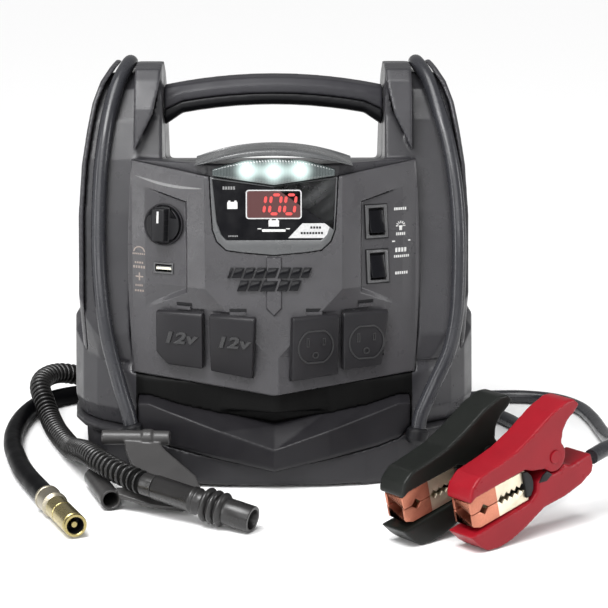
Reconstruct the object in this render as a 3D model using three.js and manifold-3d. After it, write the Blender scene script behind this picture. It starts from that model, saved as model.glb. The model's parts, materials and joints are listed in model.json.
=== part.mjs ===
// Jump starter pack: a moulded carry case with a lamp, display, switches and covered sockets on its
// sloping front, two battery clamps whose leads run up and over the side channels, an air hose with a
// screw-on chuck, and a corrugated inflator hose with its adapter.
// Millimetres, +X to the right of a person facing the front, +Y to the back, +Z up, floor at Z = 0.
import * as THREE from "three";
import { mergeVertices } from "three/addons/utils/BufferGeometryUtils.js";
import Module from "manifold-3d";

const wasm = await Module();
wasm.setup();

// ---------------------------------------------------------------- driving dimensions
const GAP = 0.3; // air left between touching pieces
const WALL = 3.5; // moulded wall thickness
const BODY_HALF_WIDTH = 155;
const BODY_BACK = 104;
const SPLIT_Y = 5; // plane where the front and rear shells meet
const BASE_TOP = 40;
const FLANGE_Z = 33;
const LEDGE_FRONT_Z = 83; // top of the wide lower body at the front corners
const LEDGE_SIDE_Z = 116; // and along its sides
const TOWER_HALF_WIDTH = 103;
const SHOULDER_Z = 239.5;
const DRUM_INNER = 83; // X of an ear's inner face
const EAR_OUTER = 102.5; // X where an ear ends and its cable channel starts
const GUARD_INNER = 141;
const GUARD_OUTER = 144.5;
const FACE_HALF_WIDTH = 105;
const FACE_THICKNESS = 5;
const PANEL_DEPTH = 4; // deepest point of the recessed control panels
const PANEL_INNER_X = 63.5;
const PANEL_OUTER_X = 95;
const HANDLE_HALF_LENGTH = 82.6;
const CABLE_RADIUS = 5.5;
const AIR_HOSE_RADIUS = 7.5;
const DUCT_RADIUS = 8.5;
const COVER_THICKNESS = 7;
const SOCKET_RADIUS = 13;
const SOCKET_BORE = 10.6;
const SOCKET_DEPTH = 38;
const CLAMP_WIDTH = 24;
const CLAMP_YAW = THREE.MathUtils.degToRad(38);
const CLAMP_PITCH = THREE.MathUtils.degToRad(13);

// ---------------------------------------------------------------- materials
function plastic(color, roughness = 0.55) {
  return new THREE.MeshStandardMaterial({ color, roughness, metalness: 0 });
}
function metal(color, roughness = 0.3) {
  return new THREE.MeshStandardMaterial({ color, roughness, metalness: 1 });
}
const CASE_GREY = plastic(0x4a4a4d);
const DARK_GREY = plastic(0x2c2c2f);
const SOFT_BLACK = plastic(0x141415, 0.7);
const GLOSS_BLACK = plastic(0x08080a, 0.15);
const RED_PLASTIC = plastic(0xa5121f, 0.4);
const CLEAR = plastic(0xe8eef2, 0.1);
const BOARD_GREEN = plastic(0x1f5a35, 0.5);
const COPPER = metal(0xb86a4b);
const BRASS = metal(0xb9a15a);
const STEEL = metal(0xb0b0b4);

// ---------------------------------------------------------------- solids
// A closed geometry as a manifold solid, with its shared corners merged.
function solid(geometry) {
  const bare = geometry.clone();
  bare.deleteAttribute("normal");
  bare.deleteAttribute("uv");
  const merged = mergeVertices(bare, 1e-4);
  return new wasm.Manifold(
    new wasm.Mesh({
      numProp: 3,
      vertProperties: new Float32Array(merged.attributes.position.array),
      triVerts: new Uint32Array(merged.index.array),
    }),
  );
}

function geometryOf(body) {
  const mesh = body.getMesh();
  const geometry = new THREE.BufferGeometry();
  geometry.setAttribute("position", new THREE.BufferAttribute(mesh.vertProperties, 3));
  geometry.setIndex(new THREE.BufferAttribute(mesh.triVerts, 1));
  geometry.computeVertexNormals();
  return geometry;
}

const join = (first, ...rest) => geometryOf(rest.reduce((all, g) => all.add(solid(g)), solid(first)));
const cut = (first, ...rest) => geometryOf(rest.reduce((all, g) => all.subtract(solid(g)), solid(first)));
const common = (first, ...rest) => geometryOf(rest.reduce((all, g) => all.intersect(solid(g)), solid(first)));

// The largest connected body of a geometry: a trim can leave loose slivers behind.
function mainBody(geometry) {
  const bodies = solid(geometry).decompose();
  return geometryOf(bodies.reduce((best, body) => (body.volume() > best.volume() ? body : best)));
}

// ---------------------------------------------------------------- shapes
function box(x0, x1, y0, y1, z0, z1) {
  const geometry = new THREE.BoxGeometry(x1 - x0, y1 - y0, z1 - z0);
  return geometry.translate((x0 + x1) / 2, (y0 + y1) / 2, (z0 + z1) / 2);
}

function outline(points) {
  return new THREE.Shape(points.map(([a, b]) => new THREE.Vector2(a, b)));
}

// A front-view outline of [x, z] points, from y0 to y1.
function prismY(points, y0, y1) {
  const geometry = new THREE.ExtrudeGeometry(outline(points), { depth: y1 - y0, bevelEnabled: false });
  return geometry.rotateX(Math.PI / 2).translate(0, y1, 0);
}

// A side-view outline of [y, z] points, from x0 to x1.
function prismX(points, x0, x1) {
  const geometry = new THREE.ExtrudeGeometry(outline(points), { depth: x1 - x0, bevelEnabled: false });
  const toSide = new THREE.Matrix4().makeBasis(
    new THREE.Vector3(0, 1, 0),
    new THREE.Vector3(0, 0, 1),
    new THREE.Vector3(1, 0, 0),
  );
  return geometry.applyMatrix4(toSide).translate(x0, 0, 0);
}

// A cylinder along Y: from y0 (front) to y1 (back).
function rodY(radius, y0, y1, sides = 24) {
  return new THREE.CylinderGeometry(radius, radius, y1 - y0, sides).translate(0, (y0 + y1) / 2, 0);
}

function rodX(radius, x0, x1, sides = 20) {
  const geometry = new THREE.CylinderGeometry(radius, radius, x1 - x0, sides);
  return geometry.rotateZ(Math.PI / 2).translate((x0 + x1) / 2, 0, 0);
}

// A turned piece along +Y from its [radius, y] profile, which starts and ends on the axis.
function turned(profile, sides = 24) {
  return new THREE.LatheGeometry(profile.map(([r, y]) => new THREE.Vector2(r, y)), sides);
}

// A closed skin through rings of [x, y, z] points, each ring with the same number of points.
function loft(rings) {
  const count = rings[0].length;
  const corners = rings.flat();
  const faces = [];
  for (let i = 0; i + 1 < rings.length; i += 1) {
    for (let j = 0; j < count; j += 1) {
      const next = (j + 1) % count;
      const [a, b] = [i * count + j, i * count + next];
      faces.push(a, b, b + count, a, b + count, a + count);
    }
  }
  for (const [ring, turn] of [[0, 1], [rings.length - 1, -1]]) {
    const middle = corners.length;
    const sum = rings[ring].reduce((t, p) => [t[0] + p[0], t[1] + p[1], t[2] + p[2]], [0, 0, 0]);
    corners.push(sum.map((v) => v / count));
    for (let j = 0; j < count; j += 1) {
      const [a, b] = [ring * count + j, ring * count + ((j + 1) % count)];
      faces.push(...(turn > 0 ? [middle, b, a] : [middle, a, b]));
    }
  }
  const geometry = new THREE.BufferGeometry();
  geometry.setAttribute("position", new THREE.Float32BufferAttribute(corners.flat(), 3));
  geometry.setIndex(faces);
  if (signedVolume(geometry) < 0) {
    for (let i = 0; i < faces.length; i += 3) [faces[i + 1], faces[i + 2]] = [faces[i + 2], faces[i + 1]];
    geometry.setIndex(faces);
  }
  return geometry;
}

function signedVolume(geometry) {
  const at = geometry.attributes.position;
  const index = geometry.index.array;
  const [a, b, c] = [new THREE.Vector3(), new THREE.Vector3(), new THREE.Vector3()];
  let total = 0;
  for (let i = 0; i < index.length; i += 3) {
    a.fromBufferAttribute(at, index[i]);
    b.fromBufferAttribute(at, index[i + 1]);
    c.fromBufferAttribute(at, index[i + 2]);
    total += a.dot(b.cross(c)) / 6;
  }
  return total;
}

// A plan outline at height z: a rounded front half and a boxier back half.
function planRing(z, halfWidth, front, back, frontPower = 2.5, backPower = 5, count = 32) {
  const ring = [];
  for (let i = 0; i < count; i += 1) {
    const angle = (2 * Math.PI * i) / count;
    const power = Math.sin(angle) < 0 ? frontPower : backPower;
    const reach = Math.sin(angle) < 0 ? front : back;
    const x = Math.sign(Math.cos(angle)) * Math.abs(Math.cos(angle)) ** (2 / power);
    const y = Math.abs(Math.sin(angle)) ** (2 / power);
    ring.push([halfWidth * x, reach * y, z]);
  }
  return ring;
}

function curveThrough(points) {
  const stations = points.map(([x, y, z]) => new THREE.Vector3(x, y, z));
  return new THREE.CatmullRomCurve3(stations, false, "centripetal");
}

// A plain round tube along a route.
function tube(points, radius, steps, sides = 8) {
  const section = new THREE.Shape();
  for (let i = 0; i < sides; i += 1) {
    const angle = (2 * Math.PI * i) / sides;
    const [x, y] = [radius * Math.cos(angle), radius * Math.sin(angle)];
    if (i === 0) section.moveTo(x, y);
    else section.lineTo(x, y);
  }
  const extrudePath = curveThrough(points);
  return new THREE.ExtrudeGeometry(section, { steps, extrudePath, bevelEnabled: false });
}

// Turns a piece made along +Y so that it points along a direction, and places its start.
function along(geometry, start, direction) {
  const aim = new THREE.Vector3(...direction).normalize();
  const turn = new THREE.Quaternion().setFromUnitVectors(new THREE.Vector3(0, 1, 0), aim);
  return geometry.applyQuaternion(turn).translate(...start);
}

// ---------------------------------------------------------------- the sloping front
const clamp01 = (t) => Math.min(1, Math.max(0, t));
const mix = (a, b, t) => a + (b - a) * t;
const faceCentreY = (z) => mix(-108, -86, (z - 72) / 168);
const faceSideY = (z) => mix(-75, -60, (z - 82) / 162);
// The middle of the front is flat at the top and narrows to a ridge lower down.
const faceFlat = (z) => mix(3, 50, clamp01((z - 100) / 50));
function faceY(x, z) {
  const flat = faceFlat(z);
  const across = Math.max(0, (Math.abs(x) - flat) / (FACE_HALF_WIDTH - flat));
  return mix(faceCentreY(z), faceSideY(z), across);
}
const faceBottomZ = (x) => mix(72, 82.5, Math.abs(x) / FACE_HALF_WIDTH);
const faceTopZ = (x) => mix(231, SHOULDER_Z, clamp01((Math.abs(x) - 46) / 58));
const faceBow = (z) => 3.5 * Math.sin(Math.PI * clamp01((z - 80) / 165));
function panelY(x, z) {
  const sunk = clamp01((PANEL_OUTER_X - Math.abs(x)) / (PANEL_OUTER_X - PANEL_INNER_X));
  return faceY(x, z) + PANEL_DEPTH * sunk;
}

// A slab that follows the front, between two depths measured from its surface.
function faceSlab(frontDepth, backDepth, grow = 0) {
  const rings = [];
  for (let i = 0; i <= 8; i += 1) {
    const side = Math.sign(i - 4);
    const step = Math.abs(i - 4);
    const row = (z, depth) => {
      const flat = faceFlat(z);
      const wide = FACE_HALF_WIDTH + faceBow(z) + grow;
      const x = side * [0, flat, mix(flat, wide, 0.35), mix(flat, wide, 0.7), wide][step];
      return [x, faceY(Math.min(Math.abs(x), FACE_HALF_WIDTH), z) + depth, z];
    };
    const edge = [0, 20, 50, 80, FACE_HALF_WIDTH][step];
    const levels = [faceBottomZ(edge) - grow, 100, 150, 190, faceTopZ(edge) + grow];
    rings.push([...levels.map((z) => row(z, frontDepth)), ...levels.reverse().map((z) => row(z, backDepth))]);
  }
  return loft(rings);
}

// The frame of a piece that sits on the front: its -Y axis points straight out of the surface.
function onFace(x, z, surface, step = 1) {
  const across = (surface(x + step, z) - surface(x - step, z)) / (2 * step);
  const up = (surface(x, z + step) - surface(x, z - step)) / (2 * step);
  const place = new THREE.Group();
  place.rotation.order = "ZXY";
  place.position.set(x, surface(x, z), z);
  place.rotation.z = Math.atan(across);
  place.rotation.x = -Math.atan(up);
  place.updateMatrixWorld(true);
  return place;
}

const inFrame = (geometry, frame) => geometry.clone().applyMatrix4(frame.matrixWorld);

// ---------------------------------------------------------------- the group and its helpers
const pack = new THREE.Group();
pack.name = "jump_starter_pack";

function addPart(name, geometry, material, parent = pack) {
  const part = new THREE.Mesh(geometry, material);
  part.name = name;
  parent.add(part);
  return part;
}

// ---------------------------------------------------------------- front bumper
// Sections across the chevron at each share of its half width: bottom, front edge, sloping ledge, back.
function bumperSolid(grow = 0) {
  const shares = [-1, -0.92, -0.75, -0.4, 0, 0.4, 0.75, 0.92, 1];
  const rings = shares.map((share) => {
    const t = Math.abs(share);
    const x = share * (101 + grow);
    const front = mix(-115, -88, t ** 1.5) - grow;
    const bottom = mix(16, 31, t / 0.8) + (t > 0.9 ? 80 * (t - 0.9) : 0) - grow;
    const ledge = mix(32.5, 64.5, t) - (t > 0.95 ? 3 : 0) + grow;
    const rise = mix(47, 68.5, t) - (t > 0.95 ? 3 : 0) + grow;
    const back = mix(-97, -76, t);
    const rear = mix(-84, -66, t) + grow;
    return [
      [x, rear, bottom],
      [x, front + 2, bottom],
      [x, front, bottom + 3],
      [x, front, ledge],
      [x, back, rise],
      [x, rear, rise],
    ];
  });
  return loft(rings);
}

addPart("front_bumper", bumperSolid(), DARK_GREY);
const bumperSpace = bumperSolid(GAP);

// ---------------------------------------------------------------- base tray
// The outer form, a little larger all round where a neighbour is trimmed to it.
function trayForm(grow) {
  const ring = (z, halfWidth, front, back) => planRing(z, halfWidth + grow, front - grow, back + grow);
  const skirt = loft([
    ring(0, 143, -101, 99),
    ring(6, 146, -104, 101),
    ring(FLANGE_Z + 4, 147, -105.5, 102),
  ]);
  const flange = loft([
    ring(FLANGE_Z - grow, 153, -97, BODY_BACK + 1),
    ring(FLANGE_Z + 2, BODY_HALF_WIDTH, -99, BODY_BACK + 2),
    ring(BASE_TOP - 1, BODY_HALF_WIDTH, -99, BODY_BACK + 2),
    ring(BASE_TOP + grow, 154, -98, BODY_BACK + 1),
  ]);
  return join(skirt, flange);
}
const trayHollow = loft([planRing(5, 139, -86, 95), planRing(BASE_TOP + 10, 145, -84, 97)]);
const betweenFeet = [box(-200, 200, -52, 52, -1, 2), box(-66, 66, -200, 200, -1, 2)];
addPart("base_tray", mainBody(cut(trayForm(0), trayHollow, ...betweenFeet, bumperSpace)), CASE_GREY);

// ---------------------------------------------------------------- case: outer form and hollow
// Side-view outlines of the arches at each side, from the bottom front, over the top, to the back.
const CHANNEL_FLOOR = [
  [-70, 90], [-71, 110], [-62, 160], [-55, 200], [-46, 238], [-36, 266], [-22, 287.5], [-6, 298],
  [10, 297.5], [28, 288], [48, 267], [66, 236], [80, 200], [92, 155], [BODY_BACK, 110], [BODY_BACK, 90],
];
const EAR_SIDE = [
  [-66, 200], [-59, 240], [-52, 276], [-44, 296], [-36, 304], [-20, 307], [8, 306], [30, 297],
  [54, 272], [74, 234], [82, 200],
];
const GUARD_SIDE = [
  [-90, 80], [-77, 120], [-68, 160], [-61, 200], [-53, 238], [-44, 268], [-32, 290], [-16, 303.5],
  [4, 307.5], [24, 303.5], [44, 290], [62, 268], [80, 232], [92, 193], [103, 140], [104, 110], [104, 80],
];

// The arches stay inside this plan, whose front corners are round low down and squarer higher up.
function cornerLimit(inset) {
  return loft([
    planRing(50, 150 - inset, -89 + inset, 125, 2.5, 5),
    planRing(88, 151 - inset, -91 + inset, 125, 2.6, 5),
    planRing(150, 156 - inset, -110 + inset, 125, 4, 5),
    planRing(340, 156 - inset, -116 + inset, 125, 4, 5),
  ]);
}

function bellySolid(inset) {
  const rim = planRing(0, 150 - inset, -88 + inset, BODY_BACK - 1 - inset);
  const ledge = (y) => mix(LEDGE_FRONT_Z, LEDGE_SIDE_Z, clamp01((y + 80) / 68)) - inset;
  const top = rim.map(([x, y]) => [x, y, ledge(y)]);
  const shoulder = planRing(0, 154 - inset, -92 + inset, BODY_BACK - inset)
    .map(([x, y]) => [x, y, ledge(y) - 5]);
  return loft([
    planRing(BASE_TOP + GAP, 151 - inset, -90 + inset, BODY_BACK - 1 - inset),
    planRing(BASE_TOP + 14, 155 - inset, -93 + inset, BODY_BACK - inset),
    shoulder,
    top,
  ]);
}

function towerSolid(inset) {
  const levels = [[58, BODY_BACK], [100, BODY_BACK], [150, 98], [190, 88], [SHOULDER_Z - inset, 74]];
  const rings = levels.map(([z, back]) => {
    const wide = TOWER_HALF_WIDTH - inset;
    const flat = Math.max(faceFlat(z) - 2, 4);
    const front = (x) => faceY(x, z) + FACE_THICKNESS + 1 + inset * 1.15;
    const isTop = z > 230;
    const rear = isTop ? z - 17 : z;
    const middle = isTop ? z - 4.5 : z;
    return [
      [-wide, front(wide), z], [-flat, front(flat), z], [0, front(0), z], [flat, front(flat), z],
      [wide, front(wide), z], [wide, -18, middle], [wide, back - inset, rear], [-wide, back - inset, rear],
      [-wide, -18, middle],
    ];
  });
  return loft(rings);
}

function insetOutline(points, distance) {
  const middle = [10, 190];
  return points.map(([y, z]) => {
    const reach = Math.hypot(y - middle[0], z - middle[1]);
    const keep = (reach - distance) / reach;
    return [middle[0] + (y - middle[0]) * keep, middle[1] + (z - middle[1]) * keep];
  });
}

// One side arch and its ear; the ear's front is chamfered towards the handle gap.
const INNER_CHAMFER = [
  [79, 232], [79, 318], [83.2, 318], [84, 294], [89.4, 272], [102, 246.7], [106, 240], [106, 232],
];
function sideArch(side, inset) {
  const span = (a, b) => (side > 0 ? [a, b] : [-b, -a]);
  const drumOuter = GUARD_INNER - GAP - inset;
  const drum = prismX(insetOutline(CHANNEL_FLOOR, inset * 1.3), ...span(DRUM_INNER + inset, drumOuter));
  const ear = prismX(insetOutline(EAR_SIDE, inset * 1.3), ...span(DRUM_INNER + inset, EAR_OUTER - inset));
  const chamfer = prismY(INNER_CHAMFER.map(([x, z]) => [side * x, z]), -90, -34 + inset);
  return common(join(drum, cut(ear, chamfer)), archLimit(side, inset), cornerLimit(inset));
}

// Seen from the front, a guard's outer edge is straight low down and curves in at the top.
const GUARD_EDGE = [
  [GUARD_OUTER, 60], [GUARD_OUTER, 198], [142, 235], [138.5, 258], [134.5, 279], [129, 294], [123, 303],
  [118.5, 307.8],
];
function archLimit(side, inset) {
  const edge = GUARD_EDGE.map(([x, z]) => [x - (GUARD_OUTER - GUARD_INNER) - GAP - inset, z]);
  const points = [[DRUM_INNER - 1, 60], ...edge, [EAR_OUTER, 320], [DRUM_INNER - 1, 320]];
  return prismY(points.map(([x, z]) => [side * x, z]), -120, 120);
}

function caseSolid(inset) {
  return join(bellySolid(inset), towerSolid(inset), sideArch(-1, inset), sideArch(1, inset));
}

const caseOuter = caseSolid(0);
const caseHollow = caseSolid(WALL);
const faceSpace = faceSlab(-30, FACE_THICKNESS + GAP, 0.6);

// ---------------------------------------------------------------- light hood
const HOOD_HALF_LENGTH = 56;
function hoodSolid(grow = 0) {
  const rings = [-1, -0.86, -0.6, -0.3, 0, 0.3, 0.6, 0.86, 1].map((share) => {
    const x = share * HOOD_HALF_LENGTH;
    const crown = mix(252.5, 242, share ** 2) + grow;
    const lip = mix(247, 240.9, Math.abs(share) ** 1.6);
    return [
      [x, -36 + grow, SHOULDER_Z + GAP - grow],
      [x, -44 + grow, mix(SHOULDER_Z + 1, crown, 0.7)],
      [x, -60, crown],
      [x, -82, mix(lip, crown, 0.7)],
      [x, -94 - grow, lip],
      [x, -94 - grow, lip - 1 - grow],
      [x, -83, Math.max(lip - 2, SHOULDER_Z + GAP) - grow],
      [x, -80.6, SHOULDER_Z + GAP - grow],
    ];
  });
  return loft(rings);
}
addPart("light_hood", hoodSolid(), DARK_GREY);

// ---------------------------------------------------------------- display and lamp, set in a notch
// Outlines of [x, z] points for one half, mirrored; y follows the face.
function mirrored(half) {
  return [...half, ...half.slice().reverse().filter(([x]) => x !== 0).map(([x, z]) => [-x, z])];
}
function faceInsert(half, frontDepth, backDepth) {
  const geometry = prismY(mirrored(half), frontDepth, backDepth);
  const at = geometry.attributes.position;
  for (let i = 0; i < at.count; i += 1) at.setY(i, at.getY(i) + faceCentreY(at.getZ(i)));
  return geometry;
}
const BEZEL_HALF = [
  [0, 174.6], [24, 176.8], [34.5, 178.3], [41.3, 184.8], [44.2, 192.8], [45.5, 213], [46.3, 231], [0, 224.6],
];
const WINDOW_HALF = [[0, 185.8], [34, 185.8], [38, 190], [41.2, 199], [44.2, 229], [0, 223]];
const LENS_HALF = [[0, 225.6], [44.5, 232.3], [44.3, 236.5], [38, 240], [22, 242.6], [0, 244]];
const NOTCH_HALF = [
  [0, 174.2], [24.1, 176.4], [34.8, 177.9], [41.8, 184.5], [44.7, 192.8], [46, 213], [46.9, 232], [46.9, 260],
  [0, 260],
];

const bezelPlate = faceInsert(BEZEL_HALF, -1.5, FACE_THICKNESS);
const WINDOW_MIDDLE_Z = 200;
const seatHalf = WINDOW_HALF.map(([x, z]) => [x > 0 ? x + GAP : 0, z + (z < WINDOW_MIDDLE_Z ? -GAP : GAP)]);
const windowSeat = faceInsert(seatHalf, -5, 1.1);
const boardSeat = faceInsert([[0, 190], [32, 190], [32, 219], [0, 219]], 0, 20);
addPart("display_bezel", cut(bezelPlate, windowSeat, boardSeat), CASE_GREY);
addPart("display_window", faceInsert(WINDOW_HALF, -1.2, 0.8), GLOSS_BLACK);
addPart("light_lens", faceInsert(LENS_HALF, -6, -0.5), CLEAR);
const lampBoard = faceInsert([[0, 228], [38, 233.5], [38, 236], [22, 239], [0, 240.5]], 1.2, 2.8);
addPart("light_board", lampBoard, BOARD_GREEN);
addPart("control_board", box(-40, 40, -72, -70.4, 180, 232), BOARD_GREEN);

// ---------------------------------------------------------------- controls on the recessed panels
const knobFrame = onFace(-80.3, 194, panelY);
addPart("selector_dial_ring", cut(rodY(15.5, -2.4, -0.3, 32), rodY(13.9, -5, 5, 32)), DARK_GREY, knobFrame);
const knobShape = join(
  rodY(13.5, -4.5, -0.4, 32),
  box(-5, 5, -13, -4.4, -12, 12),
  rodY(3, -0.5, 4.5, 16),
);
addPart("selector_knob", knobShape, SOFT_BLACK, knobFrame);
addPart("rotary_switch", box(-11, 11, 5.2, 24, -11, 11), DARK_GREY, knobFrame);
pack.add(knobFrame);
const faceCuts = [inFrame(rodY(3.6, -5, 12, 16), knobFrame)];

// Two rockers, each in its own frame: the frame's tub goes through the panel.
for (const [name, x, z] of [["jump", 75, 196.2], ["inverter", 76, 163.4]]) {
  const frame = onFace(x, z, panelY);
  const tub = join(box(-8.7, 8.7, -1.6, -0.3, -12.2, 12.2), box(-7.6, 7.6, -0.4, 14, -10.8, 10.8));
  const pocket = box(-6.2, 6.2, -6, 9, -10, 10);
  addPart(`${name}_switch_frame`, cut(tub, pocket), SOFT_BLACK, frame);
  const rockerSide = [[-0.6, -8.2], [-4, -8.2], [-1.6, 0], [-0.7, 8.2], [3, 8.2], [5.6, 0]];
  addPart(`${name}_switch_rocker`, prismX(rockerSide, -5.8, 5.8), GLOSS_BLACK, frame);
  pack.add(frame);
  faceCuts.push(inFrame(box(-7.9, 7.9, -10, 20, -11.1, 11.1), frame));
}

const usbFrame = onFace(-80.9, 162, panelY);
const usbShell = cut(box(-7.8, 7.8, -1.2, 13, -4, 4), box(-6.6, 6.6, -6, 11, -2.8, 2.8));
addPart("usb_port", join(usbShell, box(-6, 6, 0, 12, -0.2, 1.6)), STEEL, usbFrame);
pack.add(usbFrame);
faceCuts.push(inFrame(box(-8.1, 8.1, -10, 20, -4.3, 4.3), usbFrame));

// ---------------------------------------------------------------- sockets and their hinged covers
// A cover's side outline: a round top about its hinge line, and a flat flap below it.
function coverShape(frontOutline) {
  const radius = COVER_THICKNESS / 2;
  const side = [];
  for (let i = 0; i <= 6; i += 1) {
    const angle = (Math.PI * i) / 6;
    side.push([radius * Math.cos(angle), radius * Math.sin(angle)]);
  }
  side.push([-radius, -60], [radius, -60]);
  return common(prismX(side, -25, 25), prismY(frontOutline, -20, 20));
}
const COVERS = [
  { name: "dc_cover_left", x: -67.4, outline: [[-18, 4], [18, 4], [18, -38.3], [-9, -36.7], [-18, -27.7]] },
  { name: "dc_cover_right", x: -28, outline: [[-17.6, 4], [17.6, 4], [14, -43], [-17.6, -39.2]] },
  { name: "ac_cover_left", x: 27.8, outline: [[-17.8, 4], [17.8, 4], [17.8, -42], [-17.8, -45]] },
  { name: "ac_cover_right", x: 65.4, outline: [[-17.8, 4], [17.8, 4], [12, -37.6], [-17.8, -39.8]] },
];
const COVER_MIDDLE_Z = 108;
const COVER_HINGE_UP = 20.6; // from the cover's middle up to its hinge line
for (const cover of COVERS) {
  const frame = onFace(cover.x, COVER_MIDDLE_Z, faceY, 16);
  const flap = new THREE.Group();
  flap.position.set(0, -COVER_THICKNESS / 2 - 1.2, COVER_HINGE_UP);
  addPart(cover.name, coverShape(cover.outline), DARK_GREY, flap);
  frame.add(flap);
  pack.add(frame);
  frame.updateMatrixWorld(true);
  const seat = cover.outline.map(([x, z]) => [x * 1.035, (z + 19) * 1.03 - 19]);
  faceCuts.push(inFrame(prismY(seat, -20, COVER_THICKNESS / 2 + GAP), flap));
}

// The 12 V barrels run straight back; their front rims are trimmed to the sloping panel.
const SOCKET_Z = 110;
for (const [name, x] of [["dc_socket_left", -67], ["dc_socket_right", -29]]) {
  const back = faceY(x, SOCKET_Z) + SOCKET_DEPTH;
  const barrel = cut(rodY(SOCKET_RADIUS, -130, back, 24), rodY(SOCKET_BORE, -140, back - 3, 24));
  const trimmed = common(barrel.translate(x, 0, SOCKET_Z), faceSlab(0.6, 80, 0));
  addPart(name, mainBody(trimmed), SOFT_BLACK);
  faceCuts.push(rodY(SOCKET_RADIUS + GAP, -140, back + GAP, 24).translate(x, 0, SOCKET_Z));
}
for (const [name, x] of [["ac_outlet_left", 28.5], ["ac_outlet_right", 65.5]]) {
  const back = faceY(x, SOCKET_Z) + 26;
  const body = common(box(x - 15, x + 15, -130, back, SOCKET_Z - 13, SOCKET_Z + 13), faceSlab(0.6, 80, 0));
  addPart(name, mainBody(body), SOFT_BLACK);
  faceCuts.push(box(x - 15.3, x + 15.3, -140, back + GAP, SOCKET_Z - 13.3, SOCKET_Z + 13.3));
}

// ---------------------------------------------------------------- fascia panel
// The cut that sinks each control panel: deepest at its inner edge, none at its outer edge.
function panelRecess(side) {
  const edges = [[PANEL_INNER_X, 145.5, 212], [79, 138.5, 216], [PANEL_OUTER_X, 131, 221]];
  const rings = edges.map(([x, low, high]) => {
    const [px, top] = [side * x, high];
    return [
      [px, faceY(x, low) - 12, low],
      [px, panelY(x, low) - (x === PANEL_OUTER_X ? 0.05 : 0), low],
      [px, panelY(x, top) - (x === PANEL_OUTER_X ? 0.05 : 0), top],
      [px, faceY(x, top) - 12, top],
    ];
  });
  return loft(rings);
}
const strap = common(
  prismY([[-5.5, 178], [5.5, 178], [5.5, 136], [0, 130.5], [-5.5, 136]], -130, -60),
  faceSlab(-1.8, 2, 0),
);
const fasciaBlank = join(faceSlab(0, FACE_THICKNESS), strap);
const notch = prismY(mirrored(NOTCH_HALF), -140, -40);
const fascia = cut(fasciaBlank, notch, panelRecess(-1), panelRecess(1), ...faceCuts);
addPart("fascia_panel", mainBody(fascia), CASE_GREY);

// ---------------------------------------------------------------- shells
const splitGap = GAP / 2;
const frontHalf = box(-200, 200, -200, SPLIT_Y - splitGap, 0, 400);
const rearHalf = box(-200, 200, SPLIT_Y + splitGap, 200, 0, 400);
const displayHole = box(-42, 42, -130, -60, 180, 233);
const frontCuts = [caseHollow, faceSpace, bumperSpace, hoodSolid(0.25), displayHole];
const switchHoles = [
  inFrame(box(-12, 12, 0, 30, -12, 12), knobFrame),
  box(62, 89, -110, -40, 150, 210),
  box(-90, -71, -110, -40, 156, 168),
];
const frontShell = mainBody(cut(common(caseOuter, frontHalf), ...frontCuts, ...switchHoles, ...faceCuts));
addPart("front_shell", frontShell, CASE_GREY);

const vents = [];
for (let row = 0; row < 6; row += 1) vents.push(box(-30, 30, 60, 120, 122 + row * 8, 125 + row * 8));
const AIR_PORT = [-88, 58];
const DUCT_PORT = [-40, 62];
const portHole = ([x, z], radius) => rodY(radius, 60, 130, 20).translate(x, 0, z);
const inletHole = box(50, 78, 60, 130, 60, 82);
const rearShell = cut(
  common(caseOuter, rearHalf), caseHollow, ...vents, inletHole,
  portHole(AIR_PORT, 8.3), portHole(DUCT_PORT, 10.3),
);
addPart("rear_shell", mainBody(rearShell), CASE_GREY);
const inletFlange = box(47, 81, BODY_BACK + GAP, BODY_BACK + 4, 57, 85);
const inletBody = box(50.3, 77.7, 84, BODY_BACK + 1, 60.3, 81.7);
addPart("charger_inlet", join(inletFlange, inletBody), SOFT_BLACK);

const PORT_END = 115;
const HOSE_START = PORT_END + 0.8;
addPart("air_port", rodY(8, 82, PORT_END, 20).translate(AIR_PORT[0], 0, AIR_PORT[1]), BRASS);
addPart("inflator_port", rodY(10, 82, PORT_END, 20).translate(DUCT_PORT[0], 0, DUCT_PORT[1]), SOFT_BLACK);

// ---------------------------------------------------------------- cable guards
function cableGuard(side) {
  const thickness = GUARD_OUTER - GUARD_INNER;
  const inner = GUARD_EDGE.map(([x, z]) => [x - thickness, z - (z > 290 ? 1.5 : 0)]).reverse();
  const strip = prismY([...GUARD_EDGE, ...inner].map(([x, z]) => [side * x, z]), -120, 120);
  const lifted = bellySolid(0).clone().translate(0, 0, GAP);
  const span = side > 0 ? [90, 160] : [-160, -90];
  const form = common(strip, prismX(GUARD_SIDE, ...span), cornerLimit(0));
  return mainBody(cut(form, lifted, bellySolid(0), sideArch(side, -GAP)));
}
addPart("cable_guard_left", cableGuard(-1), CASE_GREY);
addPart("cable_guard_right", cableGuard(1), CASE_GREY);

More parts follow.
